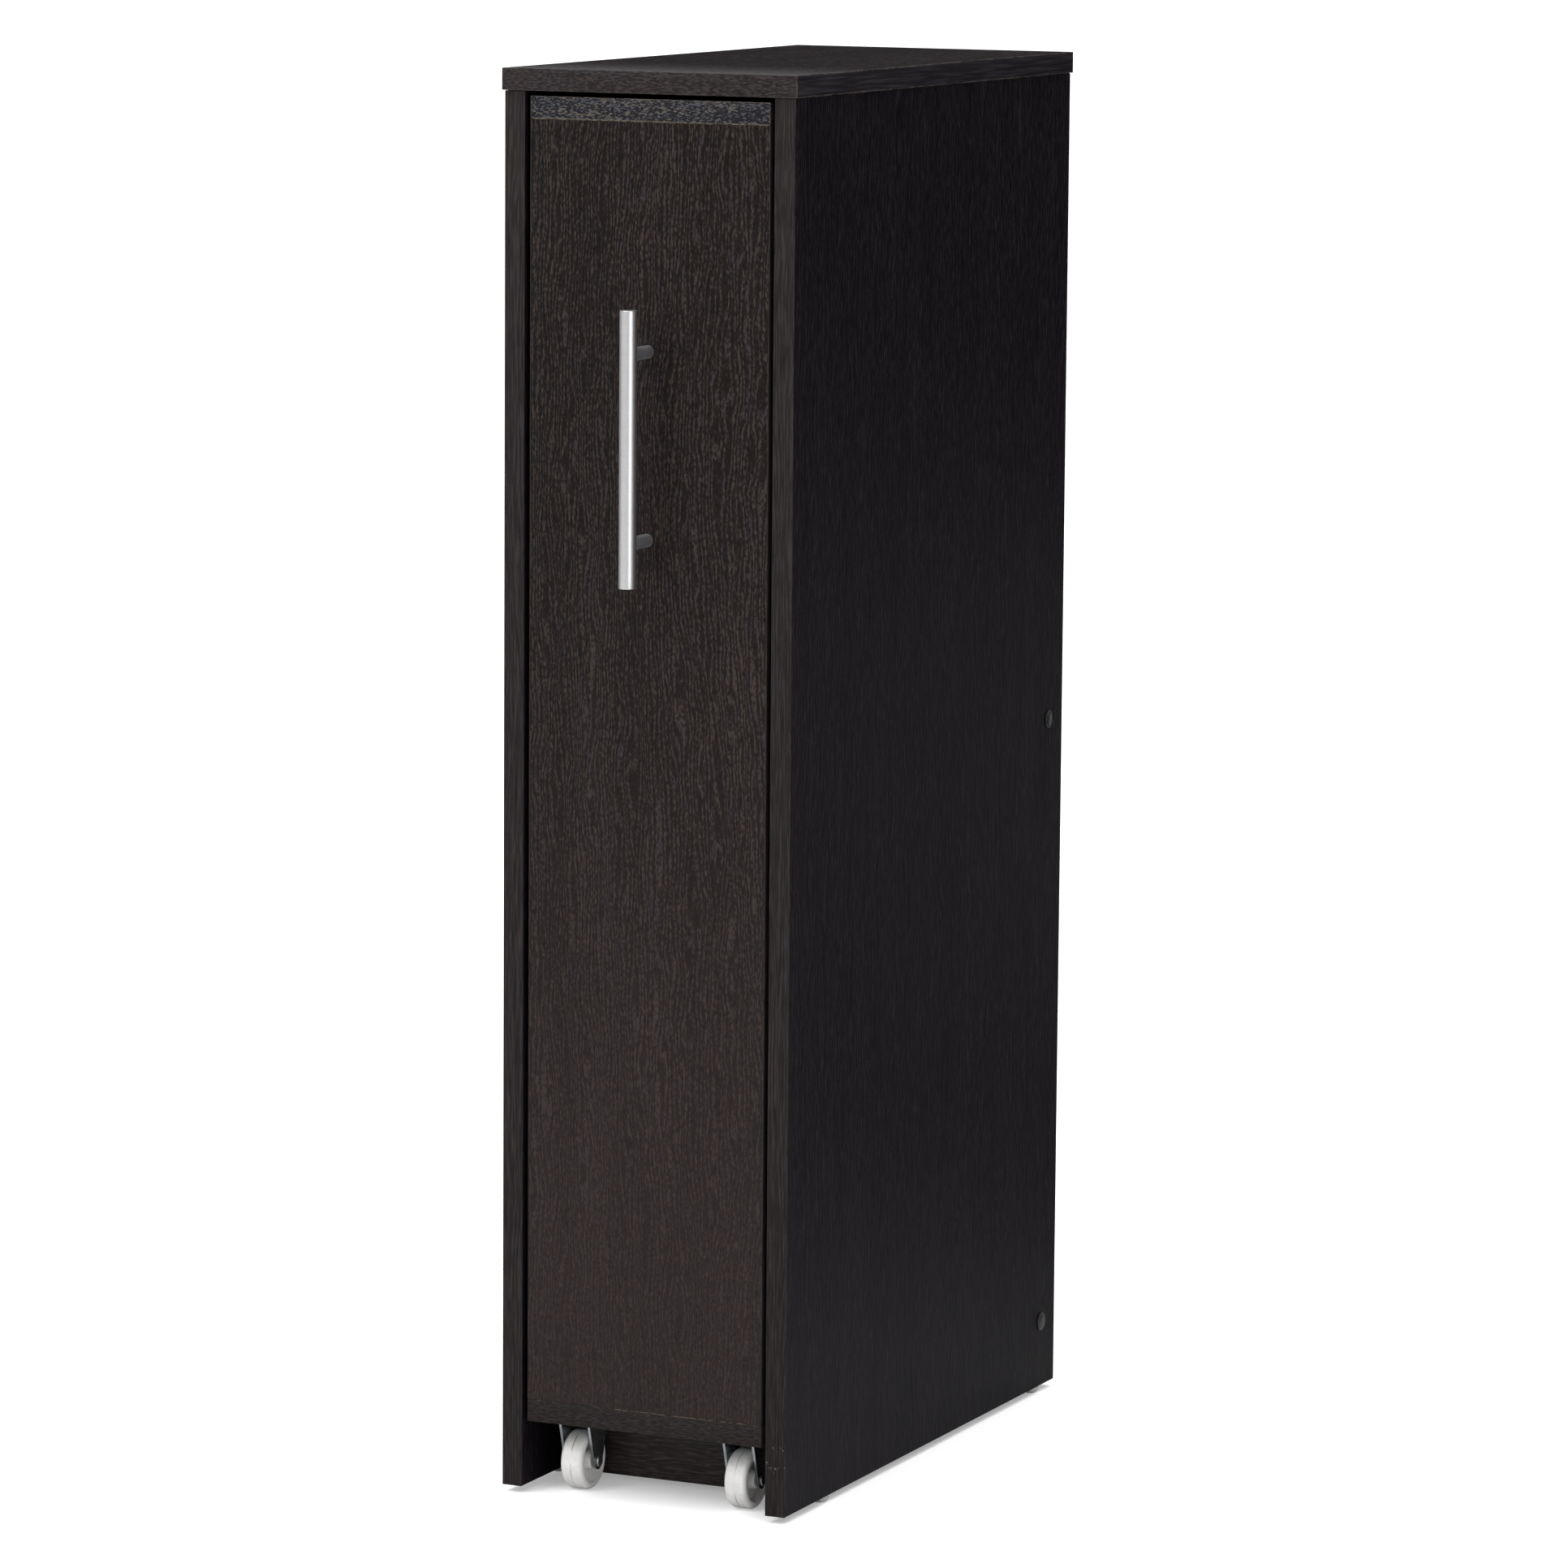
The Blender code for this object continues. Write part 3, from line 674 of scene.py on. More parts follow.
@dataclass(frozen=True)
class RawJoint:
    """The raw edge of a board that shows as a thin broken line where two boards meet."""

    name: str
    dark: Colour
    bare: Colour
    cut: Span
    broken_noise: Noise = Noise((260.0, 260.0, 900.0), 3.0, 0.65)
    broken_share: float = 0.7
    stretch_noise: Noise = Noise.even(16.0)
    roughness: float = 0.75
    specular: float = 0.2
    relief: float = 0.5
    relief_depth: float = 0.3 * MM

    def material(self, name: str) -> bpy.types.Material:
        """Make the material of one joint.

        Args:
            name: Name of the joint.

        Returns:
            The material.
        """
        graph = Graph(f"{self.name}_{name}")
        broken = graph.noise(graph.place(), self.broken_noise)
        stretch = graph.noise(graph.place(), self.stretch_noise)
        value = graph.plus(graph.times(broken, self.broken_share),
                           graph.times(stretch, 1.0 - self.broken_share))
        colour = graph.mix(graph.step(value, *self.cut), self.dark, self.bare)
        graph.set_surface(base_color=colour, roughness=self.roughness,
                          specular_ior_level=self.specular)
        graph.bump(broken, self.relief, self.relief_depth)
        return graph.material


@dataclass(frozen=True)
class Hardboard:
    """Thin pressed fibre board, plain brown with darker and lighter fibres."""

    name: str
    base: Colour
    fibre: Colour
    fibre_noise: Noise = Noise((900.0, 900.0, 700.0), 5.0, 0.7)
    fibre_cut: Span = (0.38, 0.66)
    cloud_noise: Noise = Noise((14.0, 14.0, 9.0), 3.0)
    cloud_cut: Span = (0.4, 0.7)
    cloud_amount: float = 0.3
    roughness: float = 0.72
    gloss_swing: float = 0.15
    specular: float = 0.3
    relief: float = 0.3
    relief_depth: float = 0.3 * MM

    def material(self) -> bpy.types.Material:
        """Make the material.

        Returns:
            The material.
        """
        graph = Graph(self.name)
        fibres = graph.noise(graph.place(), self.fibre_noise)
        cloud = graph.noise(graph.place(), self.cloud_noise)
        colour = graph.mix(graph.step(fibres, *self.fibre_cut), self.base, self.fibre)
        plain = graph.times(graph.step(cloud, *self.cloud_cut), self.cloud_amount)
        colour = graph.mix(plain, colour, self.base)
        gloss = graph.plus(self.roughness, graph.times(cloud, self.gloss_swing))
        graph.set_surface(base_color=colour, roughness=gloss, specular_ior_level=self.specular)
        graph.bump(fibres, self.relief, self.relief_depth)
        return graph.material


@dataclass(frozen=True)
class Moulded:
    """Moulded plastic with faint flow marks, and dirt in its parting line and in spots."""

    name: str
    base: Colour
    roughness: float
    shade: Colour
    flow_noise: Noise = Noise.even(110.0, 4.0, 0.6)
    flow_cut: Span = (0.35, 0.7)
    glow: float = 0.0
    glow_radius: Colour = (0.004, 0.003, 0.003)
    glow_scale: float = 0.5
    see_through: float = 0.0
    dirt: Colour = (0.22, 0.17, 0.13)
    dirt_amount: float = 0.0
    dirt_noise: Noise = Noise.even(320.0, 4.0, 0.7)
    dirt_cut: Span = (0.5, 0.72)
    seam_amount: float = 0.75
    seam_edge: Span = (0.8 * MM, 0.1 * MM)
    seam_noise: Noise = Noise.even(90.0, 3.0)
    seam_cut: Span = (0.40, 0.62)
    coat: float = 0.0
    specular: float = 0.5
    gloss_swing: float = 0.1
    pit_noise: Noise = Noise.even(1600.0, 3.0, 0.6)
    relief: float = 0.12
    relief_depth: float = 0.1 * MM

    def material(self, name: str = "",
                 seam: "tuple[Axis, float] | None" = None) -> bpy.types.Material:
        """Make the material.

        Args:
            name: Word that tells it from other materials of this finish.
            seam: Axis and place of a parting line that holds dirt, if there is one.

        Returns:
            The material.
        """
        graph = Graph(f"{self.name}{name}")
        flow = graph.noise(graph.place(), self.flow_noise)
        colour = graph.mix(graph.step(flow, *self.flow_cut), self.base, self.shade)
        if self.dirt_amount:
            spots = graph.step(graph.noise(graph.place(), self.dirt_noise), *self.dirt_cut)
            colour = graph.mix(graph.times(spots, self.dirt_amount), colour, self.dirt)
        if seam:
            colour = self._seamed(graph, colour, *seam)
        gloss = graph.plus(self.roughness - self.gloss_swing / 2,
                           graph.times(flow, self.gloss_swing))
        graph.set_surface(base_color=colour, roughness=gloss, specular_ior_level=self.specular,
                          subsurface_weight=self.glow, subsurface_radius=self.glow_radius,
                          subsurface_scale=self.glow_scale, coat_weight=self.coat,
                          transmission_weight=self.see_through)
        graph.bump(graph.noise(graph.place(), self.pit_noise), self.relief, self.relief_depth)
        return graph.material

    def _seamed(self, graph: Graph, colour: Socket, axis: Axis, at: float) -> Socket:
        """Draw a broken line of dirt along a parting line.

        Args:
            graph: Material under way.
            colour: Colour of the surface.
            axis: Axis that the line runs round.
            at: Place of the line on that axis.

        Returns:
            The colour with its line.
        """
        place = graph.parts(graph.place())[axis.value]
        off = graph.maths("ABSOLUTE", graph.maths("SUBTRACT", place, at))
        broken = graph.step(graph.noise(graph.place(), self.seam_noise), *self.seam_cut)
        line = graph.times(graph.step(off, *self.seam_edge), broken)
        return graph.mix(graph.times(line, self.seam_amount), colour, self.dirt)


@dataclass(frozen=True)
class Metal:
    """Bare or plated metal, brushed round an axis."""

    name: str
    base: Colour
    shade: Colour
    roughness: float
    brushed: float = 0.08
    brush_scale: Span = (45.0, 2600.0)
    brush_cut: Span = (0.58, 0.42)
    brush_dark: float = 0.6
    cloud_noise: Noise = Noise.even(70.0, 3.0)
    cloud_cut: Span = (0.35, 0.65)
    spangle: float = 0.0
    spangle_bright: float = 1.3
    spangle_noise: Noise = Noise.even(600.0, 4.0, 0.75)
    spangle_cut: Span = (0.5, 0.7)
    gloss_swing: float = 0.1
    relief_depth: float = 0.006 * MM

    def material(self, name: str = "", around: Axis = Axis.Z) -> bpy.types.Material:
        """Make the material.

        Args:
            name: Word that tells it from other materials of this finish.
            around: Axis that the brush marks run round.

        Returns:
            The material.
        """
        graph = Graph(f"{self.name}{name}")
        place = graph.place()
        scale = tuple(self.brush_scale[axis is around] for axis in Axis)
        marks = graph.noise(place, Noise(scale, 3.0, 0.65))
        cloud = graph.noise(place, self.cloud_noise)
        colour = graph.mix(graph.step(cloud, *self.cloud_cut), self.base, self.shade)
        colour = graph.mix(graph.times(graph.step(marks, *self.brush_cut), self.brushed), colour,
                           tuple(self.brush_dark * part for part in self.shade))
        if self.spangle:
            flakes = graph.step(graph.noise(place, self.spangle_noise), *self.spangle_cut)
            colour = graph.mix(graph.times(flakes, self.spangle), colour,
                               tuple(min(1.0, self.spangle_bright * part) for part in self.base))
        rough = graph.plus(self.roughness, graph.times(graph.off_half(marks), self.gloss_swing))
        graph.set_surface(base_color=colour, metallic=1.0, roughness=rough)
        graph.bump(marks, self.brushed, self.relief_depth)
        return graph.material


# The cart's face carries a painted floor reflection, lighter and more even towards its foot.
FACE = Laminate("wenge_face", deep=(0.0062, 0.0042, 0.0042), mid=(0.0165, 0.0118, 0.0104),
                fleck_warm=(0.052, 0.038, 0.028), fleck_cool=(0.039, 0.032, 0.041),
                across=860.0, along=340.0, wear=0.2, specular=0.11, calm=0.5)
SIDE = Laminate("wenge_side", deep=(0.0046, 0.0032, 0.0048), mid=(0.0092, 0.0066, 0.0096),
                fleck_warm=(0.0180, 0.0140, 0.0150), fleck_cool=(0.0140, 0.0122, 0.0180),
                along=120.0, row_pitch=3.8 * MM, waviness=0.02, relief=0.3, specular=0.12)
# The top carries a painted sheen along its front edge.
TOP = Laminate("wenge_top", deep=(0.0026, 0.0010, 0.0020), mid=(0.0056, 0.0026, 0.0044),
               fleck_warm=(0.040, 0.029, 0.024), fleck_cool=(0.029, 0.024, 0.033), along=150.0,
               row_pitch=3.8 * MM, waviness=0.02, relief=0.7, specular=0.05, roughness=0.60,
               haze_amount=0.75)
SHELF = replace(TOP, name="wenge_shelf", haze_amount=0.0)
TOP_BAND = Laminate("wenge_top_band", deep=(0.0110, 0.0090, 0.0118), mid=(0.0175, 0.0145, 0.0188),
                    fleck_warm=(0.027, 0.022, 0.024), fleck_cool=(0.025, 0.023, 0.030),
                    along=26.0, rows=3.0, waviness=0.004, relief=0.12, worn=(0.15, 0.12, 0.105),
                    wear=0.5, wear_width=1.0 * MM, specular=0.16)
RAIL = Laminate("wenge_rail", deep=(0.0190, 0.0128, 0.0130), mid=(0.0330, 0.0235, 0.0235),
                fleck_warm=(0.055, 0.042, 0.038), fleck_cool=(0.046, 0.038, 0.042),
                along=120.0, waviness=0.012, relief=0.2)
EDGE = Laminate("wenge_edge", deep=(0.0140, 0.0108, 0.0112), mid=(0.0218, 0.0174, 0.0172),
                fleck_warm=(0.034, 0.027, 0.023), fleck_cool=(0.027, 0.026, 0.031),
                across=760.0, along=60.0, rows=5.0, row_share=0.45, row_pitch=2.2 * MM,
                waviness=0.004, relief=0.2, specular=0.09, worn=(0.06, 0.052, 0.05), wear=0.2)
TOP_FRONT = replace(EDGE, name="wenge_top_front", deep=(0.0150, 0.0122, 0.0128),
                    mid=(0.0300, 0.0250, 0.0250), fleck_warm=(0.060, 0.044, 0.036),
                    fleck_cool=(0.042, 0.038, 0.046), across=1250.0, along=290.0,
                    row_share=0.05, fleck_amount=0.6, worn=(0.10, 0.085, 0.075), wear=0.4)
ROUGH_EDGE = Laminate("wenge_rough_edge", deep=(0.0050, 0.0052, 0.0085),
                      mid=(0.0120, 0.0120, 0.0168), fleck_warm=(0.092, 0.080, 0.068),
                      fleck_cool=(0.062, 0.063, 0.078), across=1050.0, along=430.0, rows=60.0,
                      row_share=0.05, fleck_cut=(0.50, 0.62), fleck_amount=0.9, waviness=0.003,
                      relief=0.5, wear=0.5)
KNOCKED_EDGE = replace(EDGE, name="wenge_knocked_edge", scuff_amount=0.5)
LOW_EDGE = replace(EDGE, name="wenge_low_edge", across=1100.0, along=220.0, row_share=0.1)
JOINT_TOP = RawJoint("raw_joint_top", dark=(0.020, 0.017, 0.014), bare=(0.13, 0.112, 0.085),
                     cut=(0.40, 0.60))
JOINT_LOW = RawJoint("raw_joint_low", dark=(0.010, 0.009, 0.009), bare=(0.085, 0.066, 0.048),
                     cut=(0.46, 0.60))
FIBRE = Hardboard("brown_hardboard", base=(0.085, 0.048, 0.030), fibre=(0.16, 0.10, 0.065))
ALUMINIUM = Metal("satin_aluminium", base=(0.90, 0.90, 0.91), shade=(0.86, 0.86, 0.87),
                  roughness=0.36)
POST_METAL = Metal("dark_satin_post", base=(0.90, 0.90, 0.95), shade=(0.80, 0.80, 0.85),
                   roughness=0.46, brushed=0.15)
ZINC = Metal("bright_zinc", base=(0.62, 0.66, 0.68), shade=(0.46, 0.50, 0.52), roughness=0.24,
             brushed=0.12, spangle=0.25)
STEEL = Metal("plated_steel", base=(0.60, 0.60, 0.58), shade=(0.46, 0.46, 0.44), roughness=0.32,
              brushed=0.1)
NYLON = Moulded("white_nylon", base=(0.755, 0.75, 0.74), shade=(0.68, 0.67, 0.66),
                roughness=0.46, glow=0.25, dirt_amount=0.10)
CLEAR_NYLON = Moulded("clear_nylon", base=(0.80, 0.80, 0.80), shade=(0.70, 0.70, 0.71),
                      roughness=0.30, glow=0.4, see_through=0.45)
BLACK = Moulded("black_plastic", base=(0.012, 0.012, 0.013), shade=(0.018, 0.018, 0.019),
                roughness=0.28, coat=0.3)


# ---------------------------------------------------------------------------------------------
# Shape building
# ---------------------------------------------------------------------------------------------


def eased(points: Profile, radius: float, steps: int = 3) -> Profile:
    """Round the inner corners of an open profile.

    Args:
        points: Corners of the profile, from one end to the other.
        radius: How far a rounding reaches along each side of a corner.
        steps: Facets of a rounding.

    Returns:
        The rounded profile.
    """
    rounded = [points[0]]
    for before, corner, after in zip(points, points[1:], points[2:]):
        here = Vector(corner)
        reach = [min(radius, EASE_SHARE * (Vector(end) - here).length) for end in (before, after)]
        start = here + (Vector(before) - here).normalized() * reach[0]
        end = here + (Vector(after) - here).normalized() * reach[1]
        for i in range(steps + 1):
            t = i / steps
            point = start * (1 - t) ** 2 + here * 2 * t * (1 - t) + end * t * t
            rounded.append((point.x, point.y))
    return rounded + [points[-1]]


def arc(centre: Span, radius: float, start: float, end: float, steps: int) -> Profile:
    """Points along an arc, its angles in degrees from the first axis.

    Args:
        centre: Middle of the arc.
        radius: Its radius.
        start: Angle that it starts at.
        end: Angle that it ends at.
        steps: Facets of the arc.

    Returns:
        The points, both ends included.
    """
    turns = [math.radians(start + (end - start) * i / steps) for i in range(steps + 1)]
    return [(centre[0] + radius * math.cos(turn), centre[1] + radius * math.sin(turn))
            for turn in turns]


def dome_turns() -> list[float]:
    """Angles of the rings of a dome, from its rim to its crown."""
    return [math.pi / 2 * i / DOME_STEPS for i in range(DOME_STEPS + 1)]


def finished(shape: bmesh.types.BMesh, name: str, crease: float = CREASE) -> bpy.types.Object:
    """Turn a bmesh into a smooth-shaded object of the scene.

    Args:
        shape: The shape, which is freed.
        name: Name of the object.
        crease: Angle in degrees above which an edge stays sharp.

    Returns:
        The object.
    """
    bmesh.ops.recalc_face_normals(shape, faces=shape.faces)
    mesh = bpy.data.meshes.new(name)
    shape.to_mesh(mesh)
    shape.free()
    smooth(mesh, crease)
    made = bpy.data.objects.new(name, mesh)
    bpy.context.scene.collection.objects.link(made)
    return made


def smooth(mesh: bpy.types.Mesh, crease: float) -> None:
    """Shade a mesh smooth, but for edges above an angle in degrees."""
    mesh.shade_smooth()
    mesh.set_sharp_from_angle(angle=math.radians(crease))


def on_axes(axis: Axis, along: float, first: float, second: float) -> Vector:
    """A point by its distance along an axis and along the two that follow it.

    Args:
        axis: The axis.
        along: Distance along it.
        first: Distance along the next axis.
        second: Distance along the one after that.

    Returns:
        The point.
    """
    values = [0.0, 0.0, 0.0]
    for shift, value in enumerate((along, first, second)):
        values[(axis.value + shift) % 3] = value
    return Vector(values)


def ring_point(axis: Axis, at: Vector, radius: float, along: float, turn: float) -> Vector:
    """A point on a circle about an axis through a place.

    Args:
        axis: Direction of the axis.
        at: Place that the axis passes through.
        radius: Radius of the circle.
        along: Distance of the circle from the place.
        turn: Angle round the circle.

    Returns:
        The point.
    """
    return at + on_axes(axis, along, radius * math.cos(turn), radius * math.sin(turn))


def add_turned(shape: bmesh.types.BMesh, profile: Profile, axis: Axis, at: Vector,
               facets: int) -> None:
    """Add a turned body to a shape.

    Args:
        shape: The shape under way.
        profile: Radius and distance along the axis, from end to end. Ends off the axis are joined.
        axis: Direction of the axis.
        at: Place of distance zero.
        facets: Facets round the axis.
    """
    rings = []
    for radius, along in profile:
        count = 1 if radius == 0 else facets
        rings.append([shape.verts.new(ring_point(axis, at, radius, along, 2 * math.pi * i / facets))
                      for i in range(count)])
    if profile[0][0] != 0:
        rings.append(rings[0])
    for lower, upper in zip(rings, rings[1:]):
        for i in range(facets):
            j = (i + 1) % facets
            corners = [lower[i % len(lower)], lower[j % len(lower)],
                       upper[j % len(upper)], upper[i % len(upper)]]
            shape.faces.new(list(dict.fromkeys(corners)))


def turned(name: str, profile: Profile, axis: Axis, at: Sequence[float],
           facets: int = 64) -> bpy.types.Object:
    """A turned piece.

    Args:
        name: Name of the piece.
        profile: Radius and distance along the axis, from end to end.
        axis: Direction of the axis.
        at: Place of distance zero.
        facets: Facets round the axis.

    Returns:
        The piece.
    """
    shape = bmesh.new()
    add_turned(shape, profile, axis, Vector(at), facets)
    return finished(shape, name)


def add_slab(shape: bmesh.types.BMesh, outline: Sequence[Span], axis: Axis, low: float,
             high: float) -> None:
    """Add an outline given a thickness along an axis.

    Args:
        shape: The shape under way.
        outline: Corners in the two directions that follow the axis.
        axis: Direction of the thickness.
        low: Where the thickness starts.
        high: Where it ends.
    """
    layers = [[shape.verts.new(on_axes(axis, along, *corner)) for corner in outline]
              for along in (low, high)]
    shape.faces.new(layers[0])
    shape.faces.new(list(reversed(layers[1])))
    count = len(outline)
    for i in range(count):
        j = (i + 1) % count
        shape.faces.new((layers[0][i], layers[1][i], layers[1][j], layers[0][j]))


def block(name: str, low: Sequence[float], high: Sequence[float], ease: float) -> bpy.types.Object:
    """A block with rounded edges.

    Args:
        name: Name of the piece.
        low: Lowest corner.
        high: Highest corner.
        ease: Radius of its edges.

    Returns:
        The piece.
    """
    shape = bmesh.new()
    outline = ((low[1], low[2]), (high[1], low[2]), (high[1], high[2]), (low[1], high[2]))
    add_slab(shape, outline, Axis.X, low[0], high[0])
    bmesh.ops.bevel(shape, geom=list(shape.edges), offset=ease, segments=2, profile=0.5,
                    affect="EDGES")
    return finished(shape, name, BLOCK_CREASE)


def soften(piece: bpy.types.Object, width: float) -> None:
    """Round the sharp edges of a piece.

    Args:
        piece: The piece.
        width: Reach of the rounding.
    """
    bevel = piece.modifiers.new("soft_edges", "BEVEL")
    bevel.width = width
    bevel.segments = 2
    bevel.limit_method = "ANGLE"
    bevel.angle_limit = math.radians(SOFT_CREASE)
    bevel.harden_normals = False


def combine(piece: bpy.types.Object, operation: str, *tools: bpy.types.Object) -> None:
    """Join shapes to a piece or cut them out of it, and remove them.

    Args:
        piece: The piece.
        operation: UNION or DIFFERENCE.
        *tools: The shapes.
    """
    for tool in tools:
        step = piece.modifiers.new(operation.lower(), "BOOLEAN")
        step.operation = operation
        step.solver = "EXACT"
        step.object = tool
    apply_modifiers(piece)
    for tool in tools:
        bpy.data.objects.remove(tool, do_unlink=True)


def apply_modifiers(piece: bpy.types.Object) -> None:
    """Make a piece's modifiers part of its mesh.

    Args:
        piece: The piece.
    """
    graph = bpy.context.evaluated_depsgraph_get()
    mesh = bpy.data.meshes.new_from_object(piece.evaluated_get(graph))
    piece.modifiers.clear()
    piece.data = mesh


def drive_cross(axis: Axis, at: Sequence[float], reach: float, depth: float) -> bpy.types.Object:
    """The tool that cuts a cross-shaped drive into a screw or cam face.

    Args:
        axis: Direction that the face looks along, or against.
        at: Middle of the face.
        reach: Half the length of an arm.
        depth: Half the depth of the tool.

    Returns:
        The tool.
    """
    arm = reach * DRIVE_ARM
    outline = [(reach, -arm), (reach, arm), (arm, arm), (arm, reach), (-arm, reach), (-arm, arm),
               (-reach, arm), (-reach, -arm), (-arm, -arm), (-arm, -reach), (arm, -reach),
               (arm, -arm)]
    along, first, second = (Vector(at)[(axis.value + shift) % 3] for shift in range(3))
    shape = bmesh.new()
    add_slab(shape, [(first + a, second + b) for a, b in outline], axis, along - depth,
             along + depth)
    return finished(shape, "drive_tool")


def settle(piece: bpy.types.Object, body: str, material: bpy.types.Material,
           stands_for: Sequence[str] = ()) -> bpy.types.Object:
    """Give a new piece its finish and its body, and report it.

    Args:
        piece: The piece, in place.
        body: Body that it moves with.
        material: Its finish.
        stands_for: Solids that it is shown instead of.

    Returns:
        The same piece.
    """
    piece.data.materials.clear()
    piece.data.materials.append(material)
    if stands_for:
        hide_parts(*stands_for)
    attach(piece, body)
    shown_for = f" for {', '.join(stands_for)}" if stands_for else ""
    LOG.info("%s rides on %s%s", piece.name, body, shown_for)
    return piece


def dress(node: str, material: bpy.types.Material) -> None:
    """Give a solid of the frame its finish.

    Args:
        node: Name of the solid.
        material: Its finish.
    """
    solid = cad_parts[node]
    solid.data.materials.clear()
    solid.data.materials.append(material)
    LOG.info("%s keeps its solid", node)


def centre_of(node: str) -> Vector:
    """Middle of the box of a solid of the frame."""
    low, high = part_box(node)
    return (low + high) / 2


# ---------------------------------------------------------------------------------------------
# Boards
# ---------------------------------------------------------------------------------------------


@dataclass
class Band:
    """A strip of edge band glued along one edge of a board."""

    board: str
    body: str
    facing: Axis
    sign: int
    grain: Axis
    finish: Laminate = EDGE
    proud: float = 0.3 * MM
    sunk: float = 0.45 * MM
    ease: float = 0.22 * MM
    seed: float = 0.0

    def build(self) -> bpy.types.Object:
        """Build and dress the strip.

        Returns:
            The strip.
        """
        low, high = (list(corner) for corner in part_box(self.board))
        side = self.facing.value
        if self.sign > 0:
            low[side], high[side] = high[side] - self.sunk, high[side] + self.proud
        else:
            low[side], high[side] = low[side] - self.proud, low[side] + self.sunk
        words = ("front", "rear") if self.facing is Axis.Y else ("left", "right")
        name = f"{self.board}_band_{words[self.sign > 0]}"
        strip = block(name, low, high, self.ease)
        cross = next(axis for axis in Axis if axis not in (self.grain, self.facing))
        box = (Vector(low), Vector(high))
        material = self.finish.material(name, self.grain, cross, box, self.seed)
        return settle(strip, self.body, material)


@dataclass
class Joint:
    """The thin line of raw board where one board of the cart's face stands on another."""

    upper: str
    lower: str
    finish: RawJoint
    body: str = "cart"
    height: float = 0.8 * MM
    sunk: float = 0.8 * MM
    proud: float = 0.06 * MM
    side_gap: float = 0.6 * MM
    ease: float = 0.15 * MM

    def build(self) -> bpy.types.Object:
        """Build and dress the line.

        Returns:
            The line.
        """
        start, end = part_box(self.upper)
        middle = (start.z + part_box(self.lower)[1].z) / 2
        name = f"raw_joint_{self.upper}"
        low = (start.x + self.side_gap, start.y - self.proud, middle - self.height / 2)
        high = (end.x - self.side_gap, start.y + self.sunk, middle + self.height / 2)
        line = block(name, low, high, self.ease)
        return settle(line, self.body, self.finish.material(name))


@dataclass
class Shell:
    """The fixed cabinet: sides, top, back, rails and the bands on their edges."""

    body: str = "shell"
    boards: dict[str, tuple[Laminate, Axis, Axis]] = field(default_factory=lambda: {
        "left_side": (SIDE, Axis.Z, Axis.Y),
        "right_side": (SIDE, Axis.Z, Axis.Y),
        "top_board": (TOP, Axis.Y, Axis.X),
        "rear_mid_rail": (SIDE, Axis.X, Axis.Z),
        "rear_bottom_rail": (SIDE, Axis.X, Axis.Z),
        "kick_rail": (RAIL, Axis.X, Axis.Z),
    })

    def bands(self) -> list[Band]:
        """The edge bands of the shell.

        Returns:
            The bands, not yet built.
        """
        return [
            Band("left_side", self.body, Axis.Y, -1, Axis.Z, seed=3.1),
            Band("right_side", self.body, Axis.Y, -1, Axis.Z, finish=KNOCKED_EDGE, seed=5.7),
            Band("top_board", self.body, Axis.Y, -1, Axis.X, finish=TOP_FRONT, seed=8.3),
            Band("top_board", self.body, Axis.Y, 1, Axis.X, seed=9.1),
            Band("top_board", self.body, Axis.X, -1, Axis.Y, finish=TOP_BAND, seed=2.4),
            Band("top_board", self.body, Axis.X, 1, Axis.Y, finish=TOP_BAND, seed=4.9),
        ]

    def build(self) -> None:
        """Dress the boards and build their bands."""
        for seed, (node, (finish, grain, end_grain)) in enumerate(self.boards.items()):
            dress(node, finish.material(node, grain, end_grain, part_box(node), 1.7 * seed))
        dress("back_panel", FIBRE.material())
        for band in self.bands():
            band.build()


@dataclass
class CartBoards:
    """The cart's boards and shelves, and the bands on their edges."""

    body: str = "cart"
    front_proud: float = 0.1 * MM
    boards: dict[str, tuple[Laminate, Axis, Axis]] = field(default_factory=lambda: {
        "cart_front": (FACE, Axis.Z, Axis.X),
        "cart_rear": (FACE, Axis.Z, Axis.X),
        "cart_top_board": (SHELF, Axis.Y, Axis.X),
        "cart_bottom_board": (SHELF, Axis.Y, Axis.X),
        "shelf_lower": (SHELF, Axis.Y, Axis.X),
        "shelf_middle": (SHELF, Axis.Y, Axis.X),
        "shelf_upper": (SHELF, Axis.Y, Axis.X),
    })

    def bands(self) -> list[Band]:
        """The edge bands of the cart.

        Returns:
            The bands, not yet built.
        """
        bands = [
            Band("cart_top_board", self.body, Axis.Y, -1, Axis.X, finish=ROUGH_EDGE,
                 proud=self.front_proud, seed=1.3),
            Band("cart_bottom_board", self.body, Axis.Y, -1, Axis.X, finish=LOW_EDGE,
                 proud=self.front_proud, seed=6.1),
        ]
        for seed, node in enumerate(self.boards):
            grain = Axis.Z if node in ("cart_front", "cart_rear") else Axis.Y
            bands += [Band(node, self.body, Axis.X, sign, grain, seed=seed + 0.4 * sign)
                      for sign in (-1, 1)]
        return bands

    def build(self) -> None:
        """Dress the boards and build their bands."""
        for seed, (node, (finish, grain, end_grain)) in enumerate(self.boards.items()):
            dress(node, finish.material(node, grain, end_grain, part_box(node), 20 + 2.3 * seed))
        for band in self.bands():
            band.build()
        Joint("cart_top_board", "cart_front", JOINT_TOP).build()
        Joint("cart_front", "cart_bottom_board", JOINT_LOW).build()


# ---------------------------------------------------------------------------------------------
# Hardware of the shell
# ---------------------------------------------------------------------------------------------


